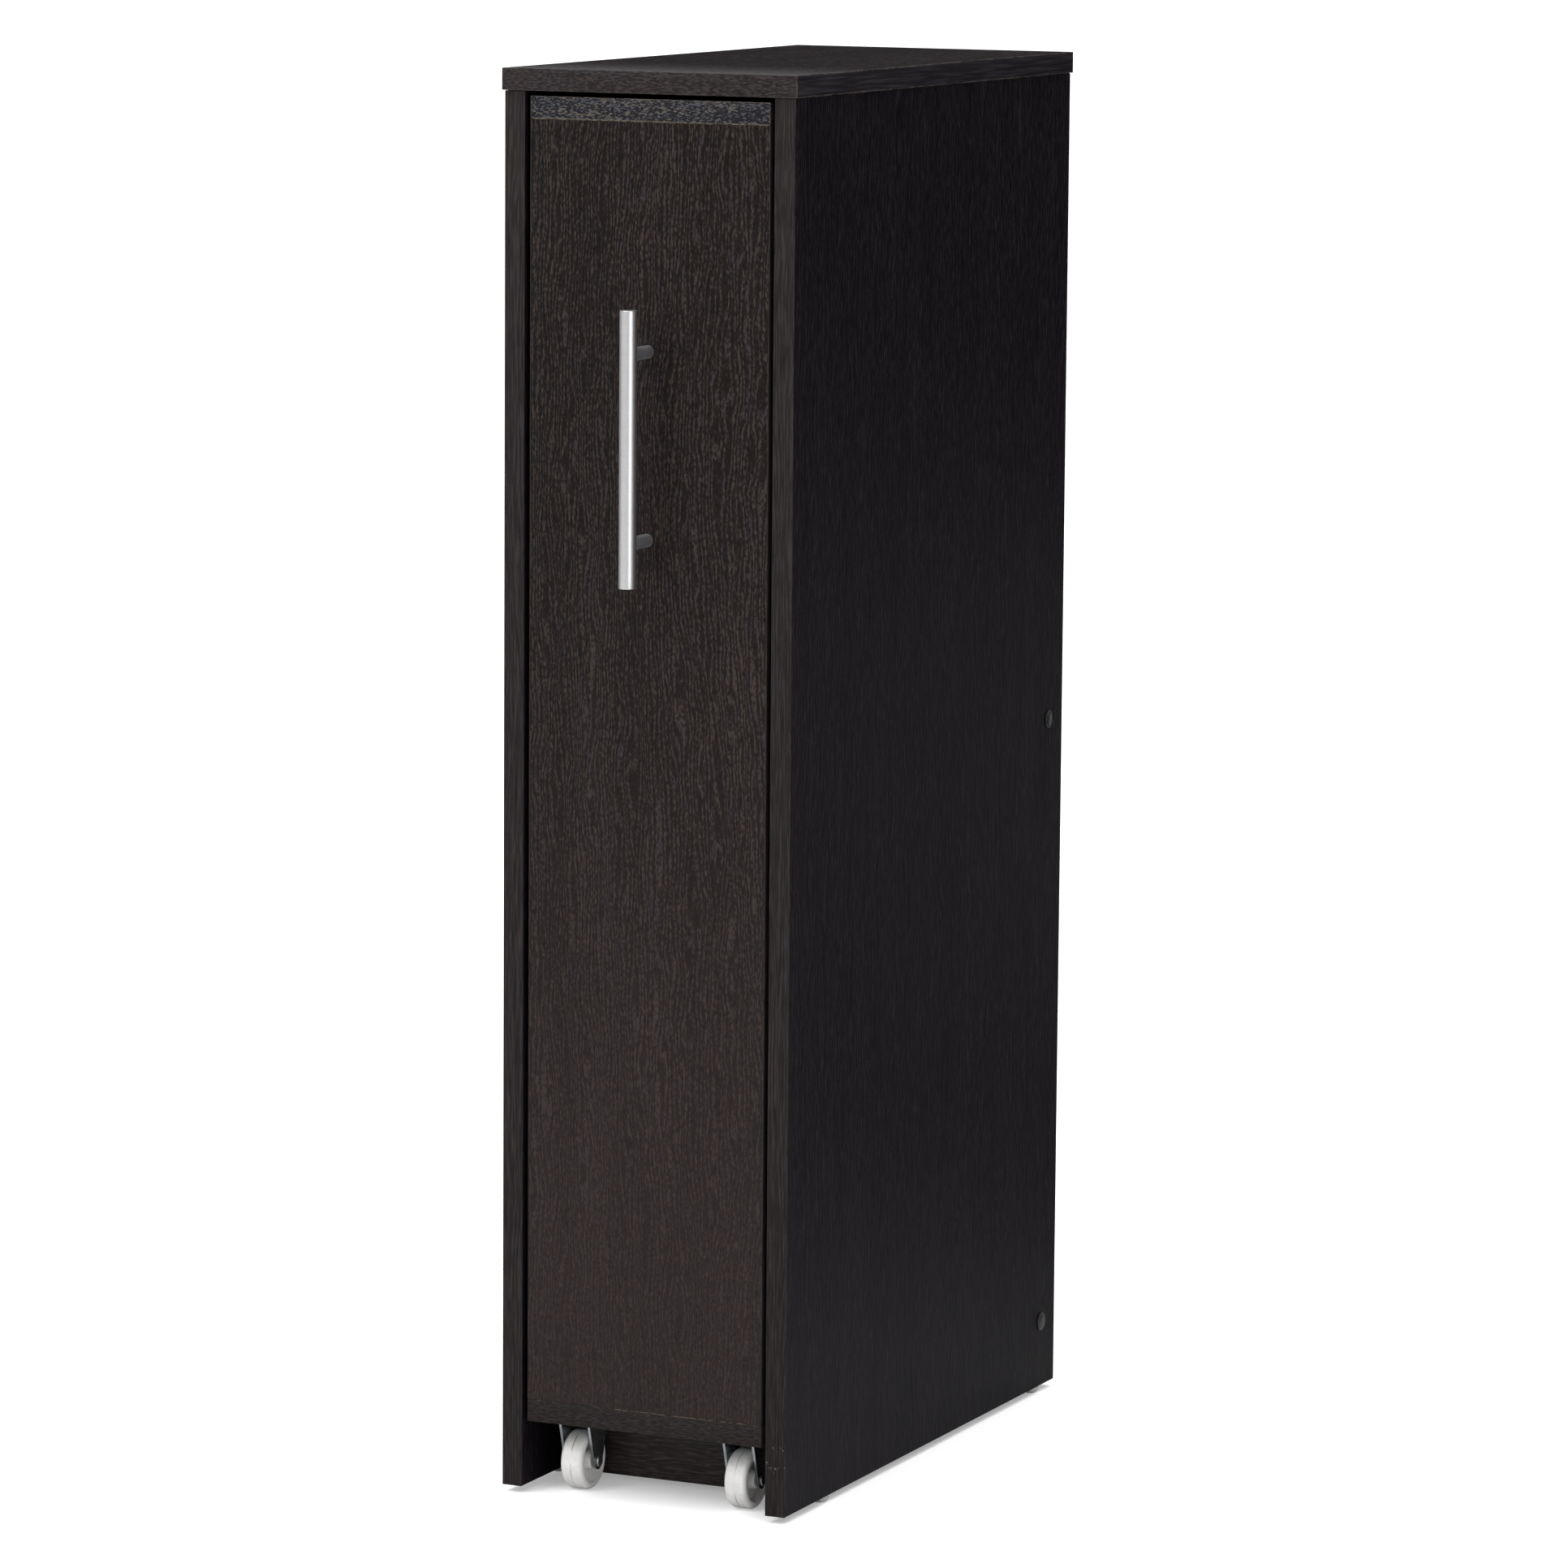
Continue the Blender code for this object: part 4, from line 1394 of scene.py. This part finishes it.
@dataclass
class CoverCap:
    """A low domed cap over the head of a rail screw."""

    node: str
    hand: Hand
    radius: float = 6.8 * MM
    height: float = 1.8 * MM
    stem: Span = (1.5 * MM, -2.2 * MM)
    back: float = 0.3 * MM
    rim_low: float = 0.5 * MM
    brim: float = 0.55 * MM
    slope: Span = (0.45 * MM, 0.35 * MM)
    ledge: Span = (0.8 * MM, 0.38 * MM)
    crown_foot: Span = (1.1 * MM, 0.4 * MM)
    body: str = "shell"

    def profile(self) -> Profile:
        """Stem, flat back, thin brim and shallow dome, out from the face of the side.

        Returns:
            Radius and distance from the face, from the stem to the crown.
        """
        stem = [(0.0, self.stem[1]), self.stem, (self.stem[0], self.back)]
        rim = [(self.radius - self.back, self.back), (self.radius, self.rim_low),
               (self.radius, self.brim)]
        rim += [(self.radius - inward, self.brim + up) for inward, up in (self.slope, self.ledge)]
        inward, up = self.crown_foot
        crown = [(math.cos(turn) * (self.radius - inward),
                  self.brim + up + (self.height - self.brim - up) * math.sin(turn))
                 for turn in dome_turns()[:-1]]
        return stem + rim + crown + [(0.0, self.height)]

    def build(self) -> bpy.types.Object:
        """Build and dress the cap.

        Returns:
            The cap.
        """
        middle = centre_of(self.node)
        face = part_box(f"{self.hand.word}_side")[self.hand.value > 0][0]
        profile = [(radius, self.hand.value * along) for radius, along in self.profile()]
        cap = turned(f"{self.node}_shape", profile, Axis.X, (face, middle.y, middle.z))
        return settle(cap, self.body, BLACK.material(f"_{self.node}"), [self.node])


@dataclass
class Glide:
    """A domed nylon glide on its nail."""

    node: str
    radius: float = 6.5 * MM
    foot: float = 3.8 * MM
    air: float = 0.2 * MM
    dome_share: float = 0.7
    rim_share: float = 0.75
    ease: float = 0.5 * MM
    collar: float = 2.0 * MM
    nail: float = 1.0 * MM
    nail_tip: float = 2.0 * MM
    body: str = "shell"

    def build(self) -> bpy.types.Object:
        """Build and dress the glide.

        Returns:
            The glide.
        """
        low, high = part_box(self.node)
        middle = centre_of(self.node)
        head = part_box("left_side")[0].z - self.air - low.z
        tip = high.z - low.z
        dome = [(self.foot + (self.radius - self.foot) * math.sin(turn),
                 head * self.dome_share * (1 - math.cos(turn))) for turn in dome_turns()]
        rim = [(self.radius, head * self.rim_share), (self.radius, head), (self.collar, head)]
        profile = [(0.0, 0.0), *dome, *eased(rim, self.ease)]
        profile += [(self.nail, head), (self.nail, tip - self.nail_tip), (0.0, tip)]
        glide = turned(f"{self.node}_shape", profile, Axis.Z, (middle.x, middle.y, low.z))
        material = CLEAR_NYLON.material(f"_{self.node}")
        return settle(glide, self.body, material, [self.node])


@dataclass
class CamFitting:
    """A cam in its pocket, with a cross drive in its face."""

    node: str
    axis: Axis
    outward: int
    radius: float = 7.5 * MM
    dish: Span = (0.62, 0.6)
    dish_depth: float = 0.5 * MM
    ease: float = 0.35 * MM
    drive: float = 0.45
    drive_depth: float = 2.6 * MM
    body: str = "shell"

    def build(self) -> bpy.types.Object:
        """Build and dress the cam.

        Returns:
            The cam.
        """
        low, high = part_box(self.node)
        depth = high[self.axis.value] - low[self.axis.value]
        at = centre_of(self.node)
        at[self.axis.value] = (low, high)[self.outward > 0][self.axis.value]
        lip, well = (self.radius * share for share in self.dish)
        outline = [(0.0, -depth), (self.radius, -depth), (self.radius, 0.0), (lip, 0.0),
                   (well, -self.dish_depth), (0.0, -self.dish_depth)]
        profile = [(radius, self.outward * along) for radius, along in eased(outline, self.ease)]
        cam = turned(f"{self.node}_shape", profile, self.axis, at)
        tool = drive_cross(self.axis, at, self.radius * self.drive, self.drive_depth)
        combine(cam, "DIFFERENCE", tool)
        material = STEEL.material(f"_{self.node}", self.axis)
        return settle(cam, self.body, material, [self.node])


@dataclass
class ShellHardware:
    """Caps, glides, cams and rail screws of the shell."""

    def build(self) -> None:
        """Build them all."""
        for hand in Hand:
            for row in ("bottom", "mid"):
                CoverCap(f"cover_cap_{hand.word}_{row}", hand).build()
                node = f"rail_screw_{hand.word}_{row}"
                dress(node, STEEL.material(f"_{node}", Axis.X))
            for row in Row:
                Glide(f"glide_{hand.word}_{row.word}").build()
                CamFitting(f"top_cam_{hand.word}_{row.word}", Axis.X, -hand.value).build()
            CamFitting(f"kick_cam_{hand.word}", Axis.Y, 1).build()


# ---------------------------------------------------------------------------------------------
# Hardware of the cart
# ---------------------------------------------------------------------------------------------


@dataclass
class Handle:
    """The upright bar handle: bar, posts and the screws behind the front."""

    body: str = "cart"
    edge: float = 0.55 * MM
    edge_steps: int = 5
    end_flat: float = 0.6
    end_reach: float = 6 * MM
    dish: float = 0.12 * MM
    post_ease: float = 0.5 * MM
    saddle_gap: float = 0.05 * MM
    saddle_reach: float = 20 * MM
    screw_rim: float = 4.0 * MM
    screw_head: float = 2.4 * MM
    screw_crown: Span = (0.55, -0.15 * MM)
    screw_shoulder: float = 0.6
    screw_ease: float = 0.7 * MM
    shank: float = 2.0 * MM
    drive: Span = (2.0 * MM, 1.3 * MM)

    def bar(self) -> bpy.types.Object:
        """The bar, turned with a small rounded edge and a slightly dished end.

        Returns:
            The bar.
        """
        low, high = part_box("handle_bar")
        radius = (high.x - low.x) / 2
        half = (high.z - low.z) / 2
        outline = [(0.0, 0.0), (radius * self.end_flat, 0.0), (radius, 0.0),
                   (radius, -self.end_reach)]
        dished = [(r, half + along) for r, along in eased(outline, self.edge, self.edge_steps)]
        dished[0] = (0.0, half - self.dish)
        profile = [(r, -along) for r, along in dished] + list(reversed(dished))
        bar = turned("handle_bar_shape", profile, Axis.Z, centre_of("handle_bar"), FINE_FACETS)
        material = ALUMINIUM.material("_bar", Axis.Z)
        return settle(bar, self.body, material, ["handle_bar"])

    def post(self, row: str) -> bpy.types.Object:
        """One post, saddled to the bar and with an eased foot on the cart's face.

        Args:
            row: Which post, upper or lower.

        Returns:
            The post.
        """
        node = f"handle_post_{row}"
        low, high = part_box(node)
        middle = centre_of(node)
        radius = (high.z - low.z) / 2
        bar_low, bar_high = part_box("handle_bar")
        bar_middle = centre_of("handle_bar")
        length = high.y - bar_middle.y
        outline = [(0.0, 0.0), (radius, 0.0), (radius, -length / 2), (radius, -length),
                   (0.0, -length)]
        post = turned(f"{node}_shape", eased(outline, self.post_ease, ROUND_STEPS), Axis.Y,
                      (middle.x, high.y, middle.z), SMALL_FACETS)
        notch = (bar_high.x - bar_low.x) / 2 + self.saddle_gap
        reach = self.saddle_reach
        tool = turned("saddle_tool", [(0.0, -reach), (notch, -reach), (notch, reach), (0.0, reach)],
                      Axis.Z, (bar_middle.x, bar_middle.y, middle.z), FINE_FACETS)
        combine(post, "DIFFERENCE", tool)
        smooth(post.data, CREASE)
        material = POST_METAL.material(f"_{row}", Axis.Y)
        return settle(post, self.body, material, [node])

    def screw(self, row: str) -> bpy.types.Object:
        """One screw, with a pan head and a cross drive on the inner face of the front.

        Args:
            row: Which screw, upper or lower.

        Returns:
            The screw.
        """
        node = f"handle_screw_{row}"
        low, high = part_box(node)
        middle = centre_of(node)
        at = (middle.x, high.y, middle.z)
        rim, top = self.screw_rim, self.screw_head
        crown, crown_drop = self.screw_crown
        head = eased([(0.0, 0.0), (rim * crown, crown_drop), (rim, -top * self.screw_shoulder),
                      (rim, -top), (self.shank, -top)], self.screw_ease,
                     ROUND_STEPS)
        shank = [(self.shank, low.y - high.y), (0.0, low.y - high.y)]
        screw = turned(f"{node}_shape", head + shank, Axis.Y, at, SMALL_FACETS)
        combine(screw, "DIFFERENCE", drive_cross(Axis.Y, at, *self.drive))
        return settle(screw, self.body, STEEL.material(f"_{node}", Axis.Y), [node])

    def build(self) -> None:
        """Build and dress the whole handle."""
        self.bar()
        for row in ("upper", "lower"):
            self.post(row)
            self.screw(row)


@dataclass
class ShelfPin:
    """A plated pin with a collar, under one corner of a shelf that can be moved."""

    node: str
    row: Row
    body: str = "cart"
    radius: float = 2.5 * MM
    collar: float = 3.8 * MM
    reach: float = 8.0 * MM
    collar_span: Span = (1.3 * MM, 0.2 * MM)
    ease: float = 0.35 * MM

    def build(self) -> bpy.types.Object:
        """Build and dress the pin.

        Returns:
            The pin.
        """
        low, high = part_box(self.node)
        middle = centre_of(self.node)
        inner = high.y if self.row is Row.FRONT else low.y
        tip = high.y - low.y
        start, end = (self.reach - short for short in self.collar_span)
        outline = [(0.0, 0.0), (self.radius, 0.0), (self.radius, start), (self.collar, start),
                   (self.collar, end), (self.radius, end), (self.radius, tip), (0.0, tip)]
        profile = [(radius, -self.row.value * along) for radius, along in eased(outline, self.ease)]
        pin = turned(f"{self.node}_shape", profile, Axis.Y, (middle.x, inner, middle.z),
                     TINY_FACETS)
        material = STEEL.material(f"_{self.node}", Axis.Y)
        return settle(pin, self.body, material, [self.node])


@dataclass
class Caster:
    """A fixed caster: pressed fork with its plate screws, rivet and nylon wheel."""

    hand: Hand
    row: Row
    body: str = "cart"
    sheet: float = 1.8 * MM
    plate_corner: float = 4.0 * MM
    leg_top: float = 30.0 * MM
    leg_gap: float = 1.9 * MM
    foot_radius: float = 6.2 * MM
    foot_steps: int = 20
    bend: float = 2.2 * MM
    bend_sunk: Span = (0.1 * MM, 0.2 * MM)
    bend_share: float = 0.46
    fork_ease: float = 0.3 * MM
    groove: Profile = field(default_factory=lambda: [(0.0, 0.7 * MM), (0.25 * MM, 0.25 * MM)])
    crown_rise: float = 0.18 * MM
    crown_steps: int = 4
    recess: float = 5.6 * MM
    draft: float = 0.9 * MM
    bore_gap: float = 0.15 * MM
    bore_sunk: float = 1.0 * MM
    rim: float = 4.6 * MM
    hub: float = 6.0 * MM
    shoulder: float = 3.2 * MM
    shoulder_arc: Span = (90.0, 8.0)
    shoulder_steps: int = 8
    wheel_ease: float = 0.8 * MM
    rivet: float = 2.5 * MM
    rivet_head: float = 4.4 * MM
    rivet_seat: float = 1.6 * MM
    rivet_sunk: float = 3.0 * MM
    rivet_dome: Span = (0.86, 0.4)
    rivet_shoulder: float = 0.35 * MM
    rivet_ease: float = 0.5 * MM
    screw_rim: float = 3.6 * MM
    screw_head: float = 2.0 * MM
    screw_crown: Span = (0.6, -1.85 * MM)
    screw_shoulder: float = -0.7 * MM
    screw_ease: float = 0.6 * MM
    shank: Span = (1.7 * MM, 9.0 * MM)
    shank_tip: float = 11.0 * MM
    drive: Span = (1.8 * MM, 1.0 * MM)
    hole_edge: float = 5.2 * MM

    @property
    def where(self) -> str:
        """The caster's place as it stands in the names of its pieces."""
        return f"{self.hand.word}_{self.row.word}"

    @property
    def axle(self) -> Vector:
        """Middle of the wheel."""
        return centre_of(f"caster_wheel_{self.where}")

    def wheel(self) -> bpy.types.Object:
        """The wheel: rounded shoulders, a parting groove, and a recess and a hub on each side.

        Returns:
            The wheel.
        """
        low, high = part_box(f"caster_wheel_{self.where}")
        radius = (high.z - low.z) / 2
        half = (high.x - low.x) / 2
        floor = half - self.recess
        inner = radius - self.rim
        bore = self.rivet + self.bore_gap
        side = [(bore, floor - self.bore_sunk), (bore, half), (self.hub, half),
                (self.hub + self.draft, floor), (inner - self.draft, floor), (inner, half),
                (radius - self.shoulder, half)]
        side = eased(side, self.wheel_ease, ROUND_STEPS)
        centre = (radius - self.shoulder, half - self.shoulder)
        tread = arc(centre, self.shoulder, *self.shoulder_arc, self.shoulder_steps)
        steps = self.crown_steps
        crown = [(radius - self.crown_rise + self.crown_rise * i / steps,
                  (half - self.shoulder) * (1 - i / steps)) for i in range(steps)]
        groove = [(radius - depth, along) for depth, along in self.groove]
        outer = side + tread + crown + groove
        profile = outer + [(r, -along) for r, along in reversed(outer)]
        node = f"caster_wheel_{self.where}"
        wheel = turned(f"{node}_shape", profile, Axis.X, self.axle, FINE_FACETS)
        material = NYLON.material(f"_{self.where}", (Axis.X, self.axle.x))
        return settle(wheel, f"wheel_{self.where}", material, [node])

    def leg_outline(self, top: float) -> Profile:
        """Outline of a leg about the axle: straight tapering edges into a round foot.

        Args:
            top: Height of the leg's upper end above the axle.

        Returns:
            Its corners, along Y and Z.
        """
        half = self.leg_top / 2
        lean = math.degrees(math.atan2(half, top))
        touch = math.degrees(math.asin(self.foot_radius / math.hypot(half, top))) - lean
        foot = arc((0.0, 0.0), self.foot_radius, touch, -180 - touch, self.foot_steps)
        return [(half, top), *foot, (-half, top)]

    def plate(self, low: Vector, high: Vector) -> bmesh.types.BMesh:
        """The plate of the fork, with rounded corners, at the top of the fork's box.

        Args:
            low: Lowest corner of the box.
            high: Highest corner of the box.

        Returns:
            Its shape.
        """
        at = self.axle
        corner = self.plate_corner
        reach_x, reach_y = (high.x - low.x) / 2, (high.y - low.y) / 2
        outline = []
        for start, sign_x, sign_y in ((0, 1, 1), (90, -1, 1), (180, -1, -1), (270, 1, -1)):
            centre = (at.x + sign_x * (reach_x - corner), at.y + sign_y * (reach_y - corner))
            outline += arc(centre, corner, start, start + 90, BEND_STEPS)
        shape = bmesh.new()
        add_slab(shape, outline, Axis.Z, high.z - self.sheet, high.z)
        return shape

    def legs(self, top: float, inner: float) -> bmesh.types.BMesh:
        """The two legs of the fork.

        Args:
            top: Height of the top of the plate.
            inner: How far each leg is from the middle of the wheel.

        Returns:
            Their shape.
        """
        at = self.axle
        outline = [(at.y + y, at.z + z) for y, z in self.leg_outline(top - at.z - self.sheet / 2)]
        shape = bmesh.new()
        for sign in (-1, 1):
            near, far = sorted((at.x + sign * inner, at.x + sign * (inner + self.sheet)))
            add_slab(shape, outline, Axis.X, near, far)
        return shape

    def bends(self, top: float, inner: float) -> bmesh.types.BMesh:
        """The bends between the plate and the legs.

        Args:
            top: Height of the top of the plate.
            inner: How far each leg is from the middle of the wheel.

        Returns:
            Their shape.
        """
        at = self.axle
        under = top - self.sheet
        into_leg, into_plate = self.bend_sunk
        half = self.leg_top * self.bend_share
        shape = bmesh.new()
        for sign in (-1, 1):
            face = at.x + sign * (inner + self.sheet - into_leg)
            centre = (face + sign * self.bend, under - self.bend)
            curve = arc(centre, self.bend, 180 if sign > 0 else 0, 90, BEND_STEPS)
            profile = [(face, under + into_plate), *curve,
                       (face + sign * self.bend, under + into_plate)]
            add_slab(shape, [(z, x) for x, z in profile], Axis.Y, at.y - half, at.y + half)
        return shape

    def fork(self) -> bpy.types.Object:
        """The fork: a plate with rounded corners, two legs, and the bends between them.

        Returns:
            The fork.
        """
        node = f"caster_fork_{self.where}"
        low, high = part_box(node)
        inner = (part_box(f"caster_wheel_{self.where}")[1].x - self.axle.x) + self.leg_gap
        piece = finished(self.plate(low, high), f"{node}_shape")
        combine(piece, "UNION", finished(self.legs(high.z, inner), "leg_tool"),
                finished(self.bends(high.z, inner), "bend_tool"))
        soften(piece, self.fork_ease)
        smooth(piece.data, SOFT_CREASE)
        material = ZINC.material(f"_fork_{self.where}", Axis.Y)
        return settle(piece, self.body, material, [node])

    def rivet_piece(self) -> bpy.types.Object:
        """The rivet, with a low dome at each end.

        Returns:
            The rivet.
        """
        node = f"caster_axle_{self.where}"
        low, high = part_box(node)
        half = (high.x - low.x) / 2
        seat = half - self.rivet_seat
        shoulder, crown = (self.rivet_head * share for share in self.rivet_dome)
        outline = [(self.rivet, seat - self.rivet_sunk), (self.rivet, seat),
                   (self.rivet_head, seat), (shoulder, half - self.rivet_shoulder),
                   (crown, half), (0.0, half)]
        end = eased(outline, self.rivet_ease, ROUND_STEPS)
        profile = [(r, -along) for r, along in reversed(end)] + end
        piece = turned(f"{node}_shape", profile, Axis.X, self.axle, SMALL_FACETS)
        return settle(piece, self.body, STEEL.material(f"_{node}", Axis.X), [node])

    def plate_screws(self) -> list[bpy.types.Object]:
        """The four pan-head screws that hold the plate under the cart.

        Returns:
            The screws.
        """
        low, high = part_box(f"caster_fork_{self.where}")
        face = high.z - self.sheet
        crown, crown_drop = self.screw_crown
        rim, shank = self.screw_rim, self.shank[0]
        head = eased([(0.0, -self.screw_head), (rim * crown, crown_drop),
                      (rim, self.screw_shoulder), (rim, 0.0), (shank, 0.0)], self.screw_ease)
        screws = []
        for sign_x, sign_y in ((-1, -1), (1, -1), (1, 1), (-1, 1)):
            at = (self.axle.x + sign_x * ((high.x - low.x) / 2 - self.hole_edge),
                  self.axle.y + sign_y * ((high.y - low.y) / 2 - self.hole_edge), face)
            name = f"plate_screw_{self.where}_{len(screws) + 1}"
            screw = turned(name, head + [self.shank, (0.0, self.shank_tip)], Axis.Z, at,
                           TINY_FACETS)
            tool = drive_cross(Axis.Z, (at[0], at[1], face - self.screw_head), *self.drive)
            combine(screw, "DIFFERENCE", tool)
            screws.append(settle(screw, self.body, STEEL.material(f"_{name}", Axis.Z)))
        return screws

    def build(self) -> None:
        """Build and dress the caster."""
        self.wheel()
        self.fork()
        self.rivet_piece()
        self.plate_screws()


@dataclass
class CartHardware:
    """Shelf pins and casters of the cart."""

    def build(self) -> None:
        """Build them all."""
        for hand in Hand:
            for row in Row:
                for shelf in ("lower", "upper"):
                    ShelfPin(f"shelf_pin_{shelf}_{hand.word}_{row.word}", row).build()
                Caster(hand, row).build()


# ---------------------------------------------------------------------------------------------
# Studio
# ---------------------------------------------------------------------------------------------


@dataclass
class SoftBox:
    """A soft rectangular light that looks at the middle of the object."""

    name: str
    azimuth: float
    elevation: float
    distance: float
    size: tuple[float, float]
    power: float
    middle: float = 0.5

    def build(self) -> bpy.types.Object:
        """Put the light up.

        Returns:
            The light.
        """
        lamp = bpy.data.lights.new(self.name, "AREA")
        lamp.shape = "RECTANGLE"
        lamp.size, lamp.size_y = self.size
        lamp.energy = self.power
        light = bpy.data.objects.new(self.name, lamp)
        bpy.context.scene.collection.objects.link(light)
        round_by, up_by = math.radians(self.azimuth), math.radians(self.elevation)
        away = Vector((math.sin(round_by) * math.cos(up_by),
                       -math.cos(round_by) * math.cos(up_by), math.sin(up_by)))
        light.location = away * self.distance + Vector((0.0, 0.0, self.middle))
        light.visible_camera = False
        light.rotation_euler = (-away).to_track_quat("-Z", "Y").to_euler()
        return light


@dataclass
class Studio:
    """Pale floor, soft light and the camera."""

    white: tuple[float, ...] = (1.0, 1.0, 1.0, 1.0)
    floor_half: float = 60.0
    floor_tone: float = 0.90
    floor_mottle: float = 0.02
    floor_noise: Noise = Noise.even(3.0, 3.0)
    floor_roughness: float = 0.9
    floor_glow: float = 0.30
    floor_bounce: float = 0.80
    floor_sheen: float = 0.45
    floor_sheen_middle: Place = (-0.6, -1.3, 0.0)
    floor_sheen_reach: Span = (1.0, 3.0)
    air_diffuse: float = 0.34
    air_glossy: float = 0.06
    sun_strength: float = 2.8
    sun_spread: float = 84.0
    camera_at: Place = (2.0947, -4.5167, 1.1941)
    camera_azimuth: float = 24.860
    camera_elevation: float = 8.188
    camera_roll: float = 0.434
    lens: float = 162.76
    sensor: float = 36.0
    far_clip: float = 200.0
    lights: tuple[SoftBox, ...] = (
        SoftBox("key_front_left", -26.0, 37.0, 6.0, (2.1, 2.1), 108.0),
        SoftBox("wash_front_left", -42.0, 0.0, 2.6, (3.6, 1.7), 9.3, 0.88),
        SoftBox("wash_front", 10.0, 0.0, 2.6, (1.5, 1.7), 4.2, 0.88),
        SoftBox("box_right", 53.0, 0.0, 2.4, (1.6, 1.7), 13.5, 0.85),
        SoftBox("strip_right", 98.0, 0.0, 2.4, (1.5, 1.6), 1.7, 0.85),
        SoftBox("rim_left", -106.0, 0.0, 2.6, (1.2, 1.6), 4.2, 0.85),
        SoftBox("sheen_rear_right", 158.0, 0.0, 1.6, (0.5, 0.5), 0.27, 0.26),
        SoftBox("fill_rear", 180.0, 50.0, 4.5, (2.2, 1.6), 30.0),
        SoftBox("fill_left", -95.0, 34.0, 5.0, (1.8, 1.8), 22.0),
    )

    def floor(self) -> bpy.types.Object:
        """The floor, which isn't part of the object.

        Returns:
            The floor.
        """
        shape = bmesh.new()
        bmesh.ops.create_grid(shape, x_segments=1, y_segments=1, size=self.floor_half)
        floor = finished(shape, "studio_floor")
        graph = Graph("pale_floor")
        place = graph.place()
        path = graph.node("ShaderNodeLightPath")
        mottle = graph.noise(place, self.floor_noise)
        seen = graph.maths("SUBTRACT", self.floor_tone, graph.times(mottle, self.floor_mottle))
        away = graph.vector_length(graph.vector("SUBTRACT", place, self.floor_sheen_middle))
        near = graph.step(away, *reversed(self.floor_sheen_reach))
        lit = graph.times(self.floor_sheen, near)
        unseen = graph.choose_number(path.outputs["Is Glossy Ray"], self.floor_bounce, lit)
        tone = graph.choose_number(path.outputs["Is Camera Ray"], unseen, seen)
        glow = graph.times(path.outputs["Is Camera Ray"], self.floor_glow)
        graph.set_surface(base_color=graph.joined((tone, tone, tone)),
                          roughness=self.floor_roughness, specular_ior_level=0.0,
                          emission_color=self.white, emission_strength=glow)
        floor.data.materials.append(graph.material)
        return floor

    def world(self) -> None:
        """Soft grey air, dim in reflections and white behind the object."""
        world = bpy.data.worlds.new("studio_air")
        world.use_nodes = True
        nodes, links = world.node_tree.nodes, world.node_tree.links
        path = nodes.new("ShaderNodeLightPath")
        layers = [nodes["Background"]]
        layers[0].inputs["Color"].default_value = self.white
        layers[0].inputs["Strength"].default_value = self.air_diffuse
        for ray, strength in (("Is Glossy Ray", self.air_glossy), ("Is Camera Ray", 1.0)):
            air = nodes.new("ShaderNodeBackground")
            air.inputs["Color"].default_value = self.white
            air.inputs["Strength"].default_value = strength
            both = nodes.new("ShaderNodeMixShader")
            links.new(path.outputs[ray], both.inputs["Fac"])
            links.new(layers[-1].outputs[0], both.inputs[1])
            links.new(air.outputs[0], both.inputs[2])
            layers.append(both)
        links.new(layers[-1].outputs[0], nodes["World Output"].inputs["Surface"])
        bpy.context.scene.world = world

    def overhead(self) -> bpy.types.Object:
        """A broad even light from above, as from a ceiling of cloth.

        Returns:
            The light.
        """
        lamp = bpy.data.lights.new("overhead", "SUN")
        lamp.energy = self.sun_strength
        lamp.angle = math.radians(self.sun_spread)
        light = bpy.data.objects.new("overhead", lamp)
        bpy.context.scene.collection.objects.link(light)
        return light

    def camera(self) -> bpy.types.Object:
        """The camera, turned by its azimuth, elevation and roll.

        Returns:
            The camera.
        """
        azimuth, elevation, roll = (math.radians(angle) for angle in (
            self.camera_azimuth, self.camera_elevation, self.camera_roll))
        ahead = Vector((-math.sin(azimuth) * math.cos(elevation),
                        math.cos(azimuth) * math.cos(elevation), -math.sin(elevation)))
        right = ahead.cross(Vector((0, 0, 1))).normalized()
        up = right.cross(ahead)
        across = right * math.cos(roll) + up * math.sin(roll)
        upward = up * math.cos(roll) - right * math.sin(roll)
        data = bpy.data.cameras.new("studio_camera")
        data.lens = self.lens
        data.sensor_width = self.sensor
        data.clip_end = self.far_clip
        camera = bpy.data.objects.new("studio_camera", data)
        bpy.context.scene.collection.objects.link(camera)
        turn = Matrix((across, upward, -ahead)).transposed().to_4x4()
        camera.matrix_world = Matrix.Translation(Vector(self.camera_at)) @ turn
        bpy.context.scene.camera = camera
        return camera

    def build(self) -> None:
        """Set the whole studio up."""
        bpy.context.scene.view_settings.view_transform = "Standard"
        self.camera()
        self.world()
        self.floor()
        self.overhead()
        for light in self.lights:
            light.build()


def main() -> None:
    """Set up the studio, then build the cabinet and the cart."""
    logging.basicConfig(level=logging.INFO, format="%(name)s: %(message)s")
    sections: tuple[Callable[[], None], ...] = (
        Studio().build, Shell().build, ShellHardware().build, CartBoards().build, Handle().build,
        CartHardware().build,
    )
    for section in sections:
        section()


if __name__ == "__main__":
    main()
